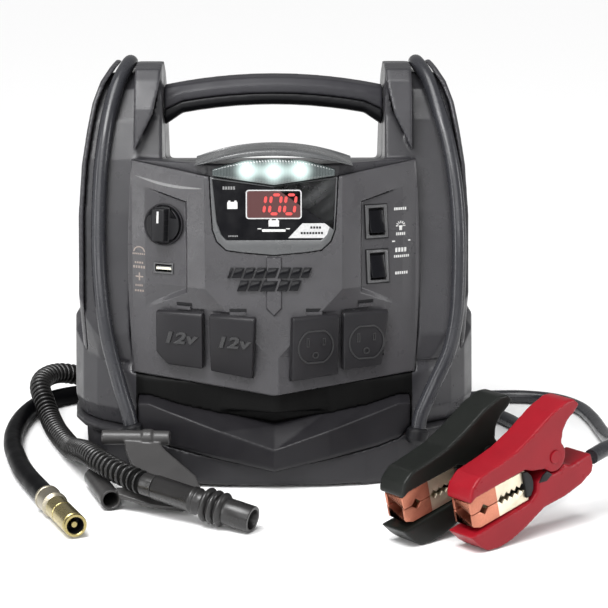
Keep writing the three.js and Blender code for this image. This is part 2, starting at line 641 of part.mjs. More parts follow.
// ---------------------------------------------------------------- carry handle
// Rings along X: the bar's upper part, and the darker grip that closes it from below.
function handleRings(upper) {
  const rings = [];
  for (let i = 0; i <= 12; i += 1) {
    const x = mix(-HANDLE_HALF_LENGTH, HANDLE_HALF_LENGTH, i / 12);
    const t = Math.abs(x) / HANDLE_HALF_LENGTH;
    const top = 297.5 - 8.5 * t ** 2;
    const flare = 200 * Math.max(0, t - 0.82) ** 2;
    const bottom = 273.5 - 9 * t ** 2 - flare;
    const seam = mix(bottom, top, 0.42);
    const depth = 15;
    const profile = upper
      ? [[-depth, seam + GAP], [-depth * 0.95, mix(seam, top, 0.5)], [-depth * 0.62, top - 2], [0, top],
        [depth * 0.62, top - 2], [depth * 0.95, mix(seam, top, 0.5)], [depth, seam + GAP]]
      : [[depth, seam], [depth * 0.95, mix(seam, bottom, 0.5)], [depth * 0.6, bottom + 1.5], [0, bottom],
        [-depth * 0.6, bottom + 1.5], [-depth * 0.95, mix(seam, bottom, 0.5)], [-depth, seam]];
    rings.push(profile.map(([y, z]) => [x, y, z]));
  }
  return loft(rings);
}
addPart("handle_bar", handleRings(true), CASE_GREY);
addPart("handle_grip", handleRings(false), SOFT_BLACK);

// ---------------------------------------------------------------- inside the case
addPart("battery", box(-90, 90, -20, 57, 46, 205), SOFT_BLACK);
const motor = rodX(18, -72, -14).translate(0, -43, 160);
const cylinderHead = new THREE.CylinderGeometry(12, 12, 40, 20).rotateX(Math.PI / 2).translate(-76, -43, 160);
addPart("air_compressor", join(motor, cylinderHead), STEEL);
const blowerDrum = rodY(20, -58, -28).translate(-34, 0, 204);
const blowerOutlet = box(-34, -10, -56, -30, 208, 223);
addPart("inflator_blower", join(blowerDrum, blowerOutlet), SOFT_BLACK);
const inverterParts = [
  box(24, 54, -52, -33, 150, 180), box(60, 80, -50, -33, 186, 222), box(24, 50, -48, -33, 196, 222),
];
addPart("inverter_board", join(box(14, 94, -33.5, -31.5, 140, 226), ...inverterParts), BOARD_GREEN);
const fanBlades = [0, 1, 2, 3, 4].map((i) =>
  box(-6, 6, -4, 4, 6, 24).applyMatrix4(
    new THREE.Matrix4().makeRotationY((2 * Math.PI * i) / 5),
  ),
);
const fan = addPart("cooling_fan", join(rodY(9, -5, 5), ...fanBlades), SOFT_BLACK);
fan.position.set(0, 72, 145);

// ---------------------------------------------------------------- jumper leads
// Each lead rises from its gland in the side channel, passes over the arch and down the back,
// then runs along the floor behind the case to its clamp at the front right.
const LEFT_LEAD = [
  [-106.5, -88.5, 46], [-108.5, -87.5, 54], [-112.5, -85, 67], [-117.5, -81.5, 85], [-123, -79, 108],
  [-127, -75.5, 135], [-129.3, -68.8, 165], [-129.3, -61.8, 201], [-127, -52.6, 239.5], [-122.5, -42, 268.8],
  [-116, -27, 292.5], [-109.5, -8, 304.6], [-108.5, 12, 304.3], [-111, 32.4, 293.5], [-115, 53.5, 271],
  [-118, 72, 239], [-120, 86.5, 202], [-121, 98.5, 156.5], [-121, 110.8, 111], [-118, 113.5, 70],
  [-113, 114.5, 30], [-104, 117, 12], [-88, 120, 6], [-60, 121.5, 5.8], [-20, 122, 5.8], [25, 122, 5.8],
  [70, 122, 5.8], [108, 122, 5.8], [140, 118, 5.8], [167, 103, 5.8], [187, 78, 5.8], [200, 45, 5.8],
  [209, 8, 5.8], [214, -30, 6.5], [214, -68, 14], [208, -103, 26], [196, -135, 36.5], [180, -156.5, 41.3],
];
const RIGHT_LEAD = [
  [107, -90, 43], [108.6, -89, 52], [113.5, -87, 64], [121, -84, 80], [129.5, -82, 99], [134.5, -79, 122],
  [136.5, -75.5, 150], [136.5, -70.5, 188], [134, -62, 222], [129.5, -51, 250], [122.5, -38, 275],
  [115.5, -22, 295.5], [109.5, -6, 304.8], [108.5, 12, 304.3], [111, 32.4, 293.5], [115, 53.5, 271],
  [118, 72, 239], [120, 86.5, 202], [121, 98.5, 156.5], [121, 110.8, 111], [120, 114, 75], [122, 117, 45],
  [129, 124, 25], [142, 132, 11], [162, 139, 6], [188, 143, 5.8], [216, 142, 5.8], [240, 131, 5.8],
  [256, 106, 5.8], [262, 72, 5.8], [264, 32, 5.8], [265, -8, 9], [265, -50, 19], [261, -92, 31],
  [251, -129, 41.5], [236, -157, 45.5], [223.5, -171, 43.5],
];
addPart("jumper_lead_left", tube(LEFT_LEAD, CABLE_RADIUS, 72), SOFT_BLACK);
addPart("jumper_lead_right", tube(RIGHT_LEAD, CABLE_RADIUS, 72), SOFT_BLACK);

// A gland holds the start of each lead at the front corner of the base.
function gland(start, next) {
  const aim = new THREE.Vector3(...start).sub(new THREE.Vector3(...next)).normalize();
  const profile = [[0, GAP], [6.4, GAP], [8.2, 2], [8.2, 9], [6, 12], [0, 12]];
  return along(turned(profile, 20), start, [aim.x, aim.y, aim.z]);
}
for (const [name, route] of [["gland_left", LEFT_LEAD], ["gland_right", RIGHT_LEAD]]) {
  addPart(name, mainBody(cut(gland(route[0], route[1]), trayForm(GAP), bumperSpace)), SOFT_BLACK);
}

// ---------------------------------------------------------------- battery clamps
// Side outlines of [along, up] points; the origin is where the jaws meet at the tip.
const PIVOT = [79, 10.5];
const LOWER_JAW = [
  [-6, -13], [1, -23], [7, -29], [17, -31.5], [30, -31], [45, -27.5], [63, -21.5], [83, -22], [100, -20],
  [112, -15.5], [114, -11], [113, -1], [93, -2], [87, 2], [82, 3], [76, 3], [70, 3], [60, -1], [58, -8],
  [52, -11.5], [4, -13],
];
const UPPER_JAW = [
  [-1.5, 9.5], [-1.5, 13], [2, 20], [10, 25], [28, 26.5], [44, 28.5], [61, 33.5], [83, 42], [98, 45],
  [105, 43.5], [109, 38], [103, 34], [96, 31], [90, 25], [87, 17], [86, 11], [84, 6.5], [79, 3.9],
  [73, 4.5], [66, 6], [57, 9], [51, 12.5], [4, 12],
];
const CHEEK_RADIUS = 11;

function disc(radius, y0, y1, sides = 24) {
  return rodY(radius, y0, y1, sides).translate(PIVOT[0], 0, PIVOT[1]);
}

// Toothed inserts: a U-shaped strip in each jaw, with a notch near the tip and zigzag teeth behind it.
function jawInsert(up) {
  const teeth = [[0, 0.25], [7.5, 0.25], [11.5, 4], [15.5, 0.25], [25, 0.25]];
  for (let i = 0; i < 5; i += 1) teeth.push([28 + i * 5, 3.4], [30.5 + i * 5, 0.8]);
  const edge = [...teeth, [52, 3], [52, 11], [6, 11.4], [0, 8.8]];
  const strip = prismY(edge.map(([u, v]) => [u, up * v]), -9, 9);
  const slot = prismY([[-1, 0], [53, 0], [53, 8.6], [-1, 8.6]].map(([u, v]) => [u, up * v]), -7, 7);
  return mainBody(cut(strip, slot));
}

function batteryClamp(colour, x, y, z, plasticMaterial) {
  const clamp = new THREE.Group();
  clamp.rotation.order = "ZYX";
  clamp.rotation.z = CLAMP_YAW;
  clamp.rotation.y = -CLAMP_PITCH;
  clamp.position.set(x, y, z);
  const half = CLAMP_WIDTH / 2;
  const tongue = disc(CHEEK_RADIUS, -5.5, 5.5);
  const pinHole = disc(3.3, -20, 20, 16);
  const lowerBody = cut(
    join(prismY(LOWER_JAW, -half, half), tongue),
    disc(CHEEK_RADIUS + 0.6, -20, -5.5), disc(CHEEK_RADIUS + 0.6, 5.5, 20), pinHole,
  );
  const upperBody = cut(
    join(prismY(UPPER_JAW, -half, half), disc(CHEEK_RADIUS, -half, -6), disc(CHEEK_RADIUS, 6, half)),
    disc(CHEEK_RADIUS + 0.8, -6, 6), pinHole,
  );
  addPart(`${colour}_clamp_lower_jaw`, mainBody(lowerBody), plasticMaterial, clamp);
  addPart(`${colour}_clamp_upper_jaw`, mainBody(upperBody), plasticMaterial, clamp);
  addPart(`${colour}_clamp_pin`, disc(3, -half - 0.6, half + 0.6, 16), STEEL, clamp);
  addPart(`${colour}_clamp_lower_teeth`, jawInsert(-1), COPPER, clamp);
  addPart(`${colour}_clamp_upper_teeth`, jawInsert(1), COPPER, clamp);
  pack.add(clamp);
}
batteryClamp("black", 81.5, -235, 27.3, SOFT_BLACK);
batteryClamp("red", 126, -248, 27.3, RED_PLASTIC);

// ---------------------------------------------------------------- air hose and chuck
const AIR_HOSE = [
  [-88, HOSE_START, 58], [-88, 126, 57.7], [-89.5, 144, 53], [-95, 162, 40], [-106, 173, 23],
  [-122, 174, 11], [-142, 166, 8], [-163, 152.5, 7.8], [-184, 137, 7.8], [-198, 114, 7.8], [-205, 86, 7.8],
  [-208, 56, 7.8], [-208, 24, 7.8], [-204.5, -10, 7.8], [-198, -42, 7.8], [-190, -74, 8], [-180, -105, 8.6],
  [-169, -135, 9.3], [-162.6, -152.8, 9.7],
];
const CHUCK_START = [-162.4, -153.4, 9.7];
const CHUCK_AIM = [0.375, -0.927, 0];
addPart("air_hose", tube(AIR_HOSE, AIR_HOSE_RADIUS, 36, 10), SOFT_BLACK);
const atChuck = (geometry) => along(geometry, CHUCK_START, CHUCK_AIM);
addPart("hose_ferrule", atChuck(turned([[0, 0], [9, 0], [9.3, 1], [9.3, 20], [7, 22], [0, 22]], 24)), BRASS);
const chuckProfile = [[0, 22.4], [7.4, 22.4], [8.2, 24], [8.2, 69], [7.7, 70], [6, 70], [6, 58], [0, 58]];
const chuckBarrel = turned(chuckProfile, 24);
const chuckCore = turned([[0, 57], [2.6, 57], [2.6, 61.5], [0, 62]], 12);
addPart("air_chuck", join(atChuck(chuckBarrel), atChuck(chuckCore)), BRASS);

// ---------------------------------------------------------------- inflator hose and coupling
const DUCT_HOSE = [
  [-40, HOSE_START, 62], [-40, 128, 61.7], [-42.5, 146, 57], [-50, 166, 46], [-65, 184, 32],
  [-88, 195, 19], [-116, 195, 11], [-144, 186, 12], [-166, 173, 18], [-184, 155, 25], [-194, 132, 27],
  [-196, 108, 25], [-190, 84, 18.5], [-183, 60, 11.5], [-175.5, 32, 9], [-166.5, 2, 9], [-157.5, -27, 10.5],
  [-148.5, -57, 17.2], [-139, -88, 24], [-127.5, -119, 26.6], [-116, -139, 26.4], [-104, -154, 25.2],
  [-91.5, -165.5, 23.4], [-84.5, -169.6, 22.4],
];
addPart("inflator_hose", tube(DUCT_HOSE, DUCT_RADIUS, 42, 10), SOFT_BLACK);
const COUPLING_START = [-84, -169.9, 22.3];
const COUPLING_AIM = [0.872, -0.463, -0.16];
const couplingProfile = [
  [0, 0], [8.8, 0], [8.8, 30], [9.6, 31], [9.6, 35], [8.6, 36], [8.6, 40], [12.4, 43], [9.4, 46], [12.4, 49],
  [9.4, 52], [12, 55], [9.6, 58], [9.6, 79], [7, 79], [7, 45], [0, 45],
];
addPart("inflator_coupling", along(turned(couplingProfile, 24), COUPLING_START, COUPLING_AIM), SOFT_BLACK);

// ---------------------------------------------------------------- loose nozzle adapter
// It leans on the bumper's corner: a cross bar at the top, a fan-shaped web down to the floor, and an
// open tube that lies on the floor at its left edge.
function nozzleAdapter() {
  const slope = THREE.MathUtils.degToRad(30.4);
  const barAt = [-101.5, -107.5, 41];
  const turn = THREE.MathUtils.degToRad(-4);
  const bar = join(rodX(5.5, -25, 25), rodX(6.6, 5, 12)).rotateZ(turn);
  const web = new THREE.ExtrudeGeometry(
    outline([
      [-9, 0], [13, 0], [22, -14], [45, -40], [48.5, -50], [48.5, -62], [43, -69], [36, -71.5], [14, -68],
      [-10, -58], [-12, -51], [4, -51], [0, -34], [-7, -14],
    ]),
    { depth: 4, bevelEnabled: false },
  );
  web.translate(0, 0, -2).rotateX(slope);
  const solidParts = join(bar, web).translate(...barAt);
  const [tubeStart, tubeAim] = [[-134, -98, 8.3], [0.287, -0.958, 0]];
  const tubeOut = along(rodY(7.6, 0, 60, 20), tubeStart, tubeAim);
  const tubeBore = along(rodY(5.6, 10, 70, 20), tubeStart, tubeAim);
  return cut(join(solidParts, tubeOut), tubeBore);
}
addPart("nozzle_adapter", nozzleAdapter(), CASE_GREY);

export default pack;
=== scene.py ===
"""Looks of a jump starter pack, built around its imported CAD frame. Lengths are in millimetres unless said."""
import json
import math

import bmesh
import bpy
import numpy as np
from mathutils import Matrix, Vector


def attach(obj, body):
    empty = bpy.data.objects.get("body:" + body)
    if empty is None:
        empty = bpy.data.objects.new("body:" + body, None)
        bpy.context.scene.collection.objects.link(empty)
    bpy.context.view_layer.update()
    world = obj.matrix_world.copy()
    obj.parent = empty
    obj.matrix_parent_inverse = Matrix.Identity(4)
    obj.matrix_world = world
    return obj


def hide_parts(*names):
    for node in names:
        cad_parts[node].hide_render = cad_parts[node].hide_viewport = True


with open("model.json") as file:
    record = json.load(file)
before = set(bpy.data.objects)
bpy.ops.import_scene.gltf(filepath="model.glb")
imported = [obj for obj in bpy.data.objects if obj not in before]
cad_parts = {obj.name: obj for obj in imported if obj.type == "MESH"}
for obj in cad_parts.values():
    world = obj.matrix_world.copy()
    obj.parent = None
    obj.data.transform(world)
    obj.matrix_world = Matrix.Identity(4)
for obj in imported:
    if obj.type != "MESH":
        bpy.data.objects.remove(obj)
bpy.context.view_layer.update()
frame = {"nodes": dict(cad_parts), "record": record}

MM = 0.001
RECORD = frame["record"]
BODY_OF = {node: body for body, nodes in RECORD["behaviour"]["bodies"].items() for node in nodes}
SLOT_OF = {row["node"]: row["material_slot"] for row in RECORD["subparts"]}

# ---------------------------------------------------------------- camera
CAMERA_DISTANCE = 1600
CAMERA_ELEVATION = math.radians(12)
CAMERA_TARGET = Vector((23.3, 0, 118))
FOCAL_PIXELS = 2056.6
FRAME_PIXELS = 608
SENSOR = 36


def make_camera():
    data = bpy.data.cameras.new("camera")
    data.sensor_width = SENSOR
    data.lens = SENSOR * FOCAL_PIXELS / FRAME_PIXELS
    data.clip_end = 50
    camera = bpy.data.objects.new("camera", data)
    bpy.context.scene.collection.objects.link(camera)
    reach = CAMERA_DISTANCE * math.cos(CAMERA_ELEVATION)
    place = Vector((0, -reach, CAMERA_TARGET.z + CAMERA_DISTANCE * math.sin(CAMERA_ELEVATION)))
    camera.location = place * MM
    camera.rotation_euler = (CAMERA_TARGET - place).to_track_quat("-Z", "Y").to_euler()
    bpy.context.scene.camera = camera


make_camera()


# ---------------------------------------------------------------- materials
def new_material(name):
    material = bpy.data.materials.new(name)
    material.use_nodes = True
    nodes = material.node_tree.nodes
    return material, nodes, material.node_tree.links, nodes["Principled BSDF"]


def put(node, **values):
    """Sets a node's inputs: from_min becomes the input called From Min."""
    for name, value in values.items():
        node.inputs[name.replace("_", " ").title()].default_value = value


def noise(nodes, links, scale, detail=3.0, stretch=(1, 1, 1)):
    """A noise texture in the object's own metres; stretch squeezes it along an axis."""
    coords = nodes.new("ShaderNodeTexCoord")
    mapping = nodes.new("ShaderNodeMapping")
    put(mapping, scale=stretch)
    texture = nodes.new("ShaderNodeTexNoise")
    put(texture, scale=scale, detail=detail)
    links.new(coords.outputs["Object"], mapping.inputs["Vector"])
    links.new(mapping.outputs["Vector"], texture.inputs["Vector"])
    return texture.outputs["Fac"]


def spread(nodes, links, value, low, high):
    """Maps the busy middle of a noise to the range low to high."""
    node = nodes.new("ShaderNodeMapRange")
    put(node, from_min=0.3, from_max=0.7, to_min=low, to_max=high)
    links.new(value, node.inputs["Value"])
    return node.outputs["Result"]


def tint(nodes, links, value, color, low, high):
    """The colour, darkened and lightened by a noise from low to high times itself."""
    node = nodes.new("ShaderNodeMix")
    node.data_type = "RGBA"
    node.inputs["A"].default_value = [c * low for c in color] + [1]
    node.inputs["B"].default_value = [min(1, c * high) for c in color] + [1]
    links.new(spread(nodes, links, value, 0, 1), node.inputs["Factor"])
    return node.outputs["Result"]


def bump(nodes, links, height, strength, distance):
    node = nodes.new("ShaderNodeBump")
    put(node, strength=strength, distance=distance)
    links.new(height, node.inputs["Height"])
    return node.outputs["Normal"]


def plastic(name, color, roughness=0.5, grain=0.35, grain_scale=1500, mottling=0.12, metallic=0.0, shine=0.2):
    """Moulded plastic: a fine grain, faint cloudy tone, and roughness that varies with handling."""
    material, nodes, links, shader = new_material(name)
    cloud = noise(nodes, links, 28, 4)
    links.new(tint(nodes, links, cloud, color, 1 - mottling, 1 + mottling), shader.inputs["Base Color"])
    rubbed = noise(nodes, links, 75, 5)
    links.new(spread(nodes, links, rubbed, roughness - 0.07, roughness + 0.07), shader.inputs["Roughness"])
    fine = noise(nodes, links, grain_scale, 2)
    links.new(bump(nodes, links, fine, grain, 0.00025), shader.inputs["Normal"])
    shader.inputs["Metallic"].default_value = metallic
    shader.inputs["Specular IOR Level"].default_value = shine
    return material


def metal(name, color, roughness=0.28, streaks=(1, 1, 1), grain=0.12):
    material, nodes, links, shader = new_material(name)
    cloud = noise(nodes, links, 60, 4)
    links.new(tint(nodes, links, cloud, color, 0.86, 1.1), shader.inputs["Base Color"])
    drawn = noise(nodes, links, 900, 2, streaks)
    links.new(spread(nodes, links, drawn, roughness - 0.08, roughness + 0.12), shader.inputs["Roughness"])
    links.new(bump(nodes, links, drawn, grain, 0.0002), shader.inputs["Normal"])
    shader.inputs["Metallic"].default_value = 1
    return material


def glowing(name, color, strength, base=(0.02, 0.02, 0.02)):
    material, _, _, shader = new_material(name)
    put(shader, base_color=[*base, 1], emission_color=[*color, 1], emission_strength=strength, roughness=0.4)
    return material


def printed(name, color, roughness=0.5):
    material, nodes, links, shader = new_material(name)
    worn = noise(nodes, links, 700, 3)
    links.new(tint(nodes, links, worn, color, 0.8, 1.05), shader.inputs["Base Color"])
    shader.inputs["Roughness"].default_value = roughness
    return material


CASE = plastic("case_plastic", (0.027, 0.0265, 0.0295), 0.32, shine=0.3)
FASCIA = plastic("fascia_plastic", (0.038, 0.037, 0.04), 0.3, 0.45, 1300, shine=0.4)
DARK = plastic("dark_plastic", (0.0105, 0.01, 0.0115), 0.36, 0.3, shine=0.16)
COVER = plastic("cover_plastic", (0.014, 0.0135, 0.015), 0.36, 0.3, 1300, shine=0.16)
TRAY = plastic("tray_plastic", (0.02, 0.0195, 0.0215), 0.36, 0.3)
# Painted shade: a near-black colour for the gap band under the fascia, the hose grooves and the outlet slots.
RECESS_SHADE = plastic("painted_recess_shade", (0.003, 0.003, 0.003), 0.5, 0.2, shine=0.08)
MARKING = plastic("cover_marking", (0.026, 0.026, 0.027), 0.32, 0.3, 1300, shine=0.3)
HANDLE = plastic("handle_plastic", (0.022, 0.0215, 0.025), 0.36, 0.3)
HOOD = plastic("hood_plastic", (0.06, 0.062, 0.064), 0.3, 0.25, shine=0.5)
# Black for the black parts. Also painted shade in gaps, slots and holes: fascia skirt, switch gaps, hinge
# slots, port depth, clamp throats and hollows, chuck bore, screw crosses.
BLACK = plastic("black_plastic", (0.006, 0.006, 0.007), 0.42, 0.25)
GLOSS = plastic("gloss_black", (0.003, 0.003, 0.004), 0.16, 0.03, 400)
JACKET = plastic("cable_jacket", (0.022, 0.0225, 0.026), 0.26, 0.12, 600, shine=0.4)
HOSE = plastic("hose_rubber", (0.002, 0.002, 0.0024), 0.36, 0.15, 500, shine=0.02)
DUCT = plastic("duct_plastic", (0.011, 0.0105, 0.0105), 0.3, 0.02, 300, shine=0.45)
RED = plastic("red_plastic", (0.21, 0.005, 0.011), 0.34, 0.14, 900, 0.1)
CLAMP_BLACK = plastic("clamp_black", (0.007, 0.008, 0.007), 0.36, 0.15, 900, 0.15)
ADAPTER = plastic("adapter_plastic", (0.03, 0.029, 0.029), 0.34, 0.2, shine=0.35)
PORT_GREY = plastic("port_grey", (0.09, 0.09, 0.092), 0.4, 0.1, 900, 0.1, 0.6)
CREAM = printed("port_tongue", (0.62, 0.6, 0.5))
COPPER = metal("copper_plate", (0.5, 0.2, 0.13), 0.46)
TINNED = metal("tinned_plate", (0.7, 0.64, 0.5), 0.46)
BRASS = metal("brass", (0.36, 0.3, 0.13), 0.3, grain=0.03)
FERRULE = metal("ferrule_steel", (0.34, 0.31, 0.24), 0.4, grain=0.02)
STEEL = metal("steel", (0.6, 0.6, 0.61), 0.3)
BOARD = plastic("circuit_board", (0.02, 0.12, 0.05), 0.35, 0.1)
WHITE_PRINT = printed("white_print", (0.5, 0.5, 0.49))
WARM_PRINT = printed("warm_print", (0.2, 0.165, 0.145))
GREY_PRINT = printed("grey_print", (0.16, 0.16, 0.16))
SILVER = printed("silver_print", (0.42, 0.42, 0.42), 0.3)
LED_RED = glowing("led_red", (1.0, 0.035, 0.03), 1.1)
LED_PANEL = glowing("led_panel", (0.25, 0.012, 0.01), 0.2, (0.02, 0.002, 0.002))
LED_WHITE = glowing("led_white", (0.93, 1.0, 1.0), 3.0, (0.8, 0.8, 0.8))


# ---------------------------------------------------------------- mesh helpers
def finish_mesh(data, material, sharp_angle):
    data.materials.clear()
    data.materials.append(material)
    data.shade_smooth()
    data.set_sharp_from_angle(angle=math.radians(sharp_angle))
    data.update()


def add_piece(name, vertices, faces, material, body="case", slot=None, sharp_angle=35, place=None):
    """A piece from vertices in millimetres; place is its 4x4 position, in millimetres too."""
    data = bpy.data.meshes.new(name)
    data.from_pydata([Vector(v) for v in vertices], [], faces)
    if place is not None:
        data.transform(place)
    data.transform(Matrix.Scale(MM, 4))
    tidy = bmesh.new()
    tidy.from_mesh(data)
    bmesh.ops.recalc_face_normals(tidy, faces=tidy.faces)
    tidy.to_mesh(data)
    tidy.free()
    finish_mesh(data, material, sharp_angle)
    piece = bpy.data.objects.new(name, data)
    bpy.context.scene.collection.objects.link(piece)
    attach(piece, body)
    return piece


def stand_for(piece, *nodes):
    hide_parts(*nodes)
    return piece


def cad_copy(node, name):
    """A new object with the node's mesh, its shared corners merged."""
    data = frame["nodes"][node].data.copy()
    data.name = name
    tidy = bmesh.new()
    tidy.from_mesh(data)
    bmesh.ops.remove_doubles(tidy, verts=tidy.verts, dist=1e-6)
    tidy.to_mesh(data)
    tidy.free()
    piece = bpy.data.objects.new(name, data)
    bpy.context.scene.collection.objects.link(piece)
    return piece


def join_flat_faces(data):
    """Merges the triangles of each flat face into one face."""
    tidy = bmesh.new()
    tidy.from_mesh(data)
    bmesh.ops.dissolve_limit(
        tidy, angle_limit=math.radians(0.6), verts=tidy.verts, edges=tidy.edges, delimit=set()
    )
    tidy.to_mesh(data)
    tidy.free()


def apply_modifiers(piece):
    bpy.context.view_layer.update()
    shaped = piece.evaluated_get(bpy.context.evaluated_depsgraph_get())
    data = bpy.data.meshes.new_from_object(shaped)
    piece.modifiers.clear()
    piece.data = data
    return data


def add_bevel(piece, width, segments, angle):
    join_flat_faces(piece.data)
    bevel = piece.modifiers.new("bevel", "BEVEL")
    bevel.width = width * MM
    bevel.segments = segments
    bevel.limit_method = "ANGLE"
    bevel.angle_limit = math.radians(angle)
    bevel.use_clamp_overlap = True


def moulded(node, material, voxel=1.4, rounds=5, sharp_angle=180, rounding=0):
    """The node's shape with soft moulded edges: rounded off if asked, remeshed evenly, then relaxed."""
    piece = cad_copy(node, node + "_moulding")
    if rounding:
        add_bevel(piece, rounding, 3, 40)
    remesh = piece.modifiers.new("remesh", "REMESH")
    remesh.mode = "VOXEL"
    remesh.voxel_size = voxel * MM
    relax = piece.modifiers.new("relax", "SMOOTH")
    relax.factor = 0.5
    relax.iterations = rounds
    finish_mesh(apply_modifiers(piece), material, sharp_angle)
    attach(piece, BODY_OF[node])
    return stand_for(piece, node)


def bevelled(node, material, width=0.5, segments=2, angle=30, sharp_angle=40):
    """The node's shape with its hard edges rounded off."""
    piece = cad_copy(node, node + "_finish")
    add_bevel(piece, width, segments, angle)
    finish_mesh(apply_modifiers(piece), material, sharp_angle)
    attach(piece, BODY_OF[node])
    return stand_for(piece, node)


def loft_faces(rings, sides, closed=True):
    faces = []
    for ring in range(rings - 1):
        for side in range(sides if closed else sides - 1):
            a = ring * sides + side
            b = ring * sides + (side + 1) % sides
            faces.append((a, b, b + sides, a + sides))
    return faces


def rim_of(rows, columns):
    """The indices round the rim of a grid of rows and columns, in order."""
    rim = list(range(columns))
    rim += [r * columns + columns - 1 for r in range(1, rows)]
    rim += [(rows - 1) * columns + c for c in range(columns - 2, -1, -1)]
    return rim + [r * columns for r in range(rows - 2, 0, -1)]


def box_mesh(x0, x1, y0, y1, z0, z1):
    vertices = [(x, y, z) for z in (z0, z1) for x, y in ((x0, y0), (x1, y0), (x1, y1), (x0, y1))]
    faces = [(0, 3, 2, 1), (4, 5, 6, 7), (0, 1, 5, 4), (1, 2, 6, 5), (2, 3, 7, 6), (3, 0, 4, 7)]
    return vertices, faces


def prism_mesh(outline, y0, y1, edge=0.0, layers=3):
    """An outline of (x, z) points given depth from y0 to y1, with edges rounded by an inward offset."""
    points = [Vector(p) for p in outline]
    count = len(points)
    turn = 1 if sum(points[i - 1].cross(points[i]) for i in range(count)) > 0 else -1
    inward = []
    for i in range(count):
        before = (points[i] - points[i - 1]).normalized()
        after = (points[(i + 1) % count] - points[i]).normalized()
        normal = (Vector((-(before.y + after.y), before.x + after.x)) * turn).normalized()
        square = Vector((-before.y, before.x)) * turn
        inward.append(normal / max(0.5, normal.dot(square)))
    steps = [(y0, 0)]
    if edge:
        angles = [math.pi / 2 * i / layers for i in range(layers, -1, -1)]
        steps = [(y0 + edge * (1 - math.sin(a)), edge * (1 - math.cos(a))) for a in angles]
    rings = steps + [(y0 + y1 - y, inset) for y, inset in steps[::-1]]
    vertices = []
    for y, inset in rings:
        inner = [point + normal * inset for point, normal in zip(points, inward)]
        vertices += [(at.x, y, at.y) for at in inner]
    faces = loft_faces(len(rings), count)
    faces.append(tuple(range(count)))
    faces.append(tuple(range((len(rings) - 1) * count, len(rings) * count)))
    return vertices, faces


def merged(*meshes):
    vertices, faces = [], []
    for some_vertices, some_faces in meshes:
        start = len(vertices)
        vertices += list(some_vertices)
        faces += [tuple(start + i for i in face) for face in some_faces]
    return vertices, faces


def moved(mesh, place):
    vertices, faces = mesh
    return [place @ Vector(v) for v in vertices], faces


def lathe_mesh(profile, sides=48):
    """Turned about +Y from (radius, y) points."""
    vertices = []
    for radius, y in profile:
        for side in range(sides):
            angle = 2 * math.pi * side / sides
            vertices.append((radius * math.cos(angle), y, radius * math.sin(angle)))
    faces = loft_faces(len(profile), sides)
    faces.append(tuple(range(sides))[::-1])
    faces.append(tuple(range((len(profile) - 1) * sides, len(profile) * sides)))
    return vertices, faces


def aimed(start, direction):
    """Puts a piece made along +Y at start, pointing along direction."""
    turn = Vector((0, 1, 0)).rotation_difference(Vector(direction).normalized())
    return Matrix.Translation(start) @ turn.to_matrix().to_4x4()


# ---------------------------------------------------------------- cords and hoses
def smooth_route(points, steps=10):
    """Points on the centripetal Catmull-Rom curve through the route."""
    route = [Vector(p) for p in points]
    route = [2 * route[0] - route[1]] + route + [2 * route[-1] - route[-2]]
    line = []
    for i in range(1, len(route) - 2):
        p = route[i - 1:i + 3]
        t = [0.0]
        for a, b in zip(p, p[1:]):
            t.append(t[-1] + math.sqrt((b - a).length))
        for step in range(steps):
            u = t[1] + (t[2] - t[1]) * step / steps
            a = [p[k] * ((t[k + 1] - u) / (t[k + 1] - t[k])) + p[k + 1] * ((u - t[k]) / (t[k + 1] - t[k]))
                 for k in range(3)]
            b = [a[k] * ((t[k + 2] - u) / (t[k + 2] - t[k])) + a[k + 1] * ((u - t[k]) / (t[k + 2] - t[k]))
                 for k in range(2)]
            line.append(b[0] * ((t[2] - u) / (t[2] - t[1])) + b[1] * ((u - t[1]) / (t[2] - t[1])))
    line.append(route[-2])
    return line


def route_length(line):
    return sum((b - a).length for a, b in zip(line, line[1:]))


def cord_curve(name, line, radius, material, node):
    data = bpy.data.curves.new(name, "CURVE")
    data.dimensions = "3D"
    data.bevel_depth = radius * MM
    data.bevel_resolution = 7
    data.use_fill_caps = True
    spline = data.splines.new("POLY")
    spline.points.add(len(line) - 1)
    for point, at in zip(spline.points, line):
        point.co = (*(at * MM), 1)
    spline.use_smooth = True
    data.materials.append(material)
    piece = bpy.data.objects.new(name, data)
    bpy.context.scene.collection.objects.link(piece)
    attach(piece, "case")
    return stand_for(piece, node)


DUCT_SIDES = 36


def swept_mesh(line, radius_at, sides=DUCT_SIDES, spacing=0.43):
    """A tube along a line whose radius is radius_at(distance along it)."""
    reach = [0.0]
    for a, b in zip(line, line[1:]):
        reach.append(reach[-1] + (b - a).length)
    ends = [line[0]] + list(line) + [line[-1]]
    tangents = [(after - before).normalized() for before, after in zip(ends, ends[2:])]
    count = round(reach[-1] / spacing)
    vertices = []
    side_way = Vector((0, 0, 1))
    k = 0
    for i in range(count + 1):
        s = reach[-1] * i / count
        while k < len(line) - 2 and reach[k + 1] < s:
            k += 1
        share = min(1, (s - reach[k]) / (reach[k + 1] - reach[k]))
        at = line[k].lerp(line[k + 1], share)
        ahead = tangents[k].lerp(tangents[k + 1], share).normalized()
        side_way = (side_way - ahead * side_way.dot(ahead)).normalized()
        other = ahead.cross(side_way)
        r = radius_at(s, reach[-1])
        for side in range(sides):
            angle = 2 * math.pi * side / sides
            vertices.append(at + (side_way * math.cos(angle) + other * math.sin(angle)) * r)
    faces = loft_faces(count + 1, sides)
    faces.append(tuple(range(sides))[::-1])
    faces.append(tuple(range(count * sides, (count + 1) * sides)))
    return vertices, faces


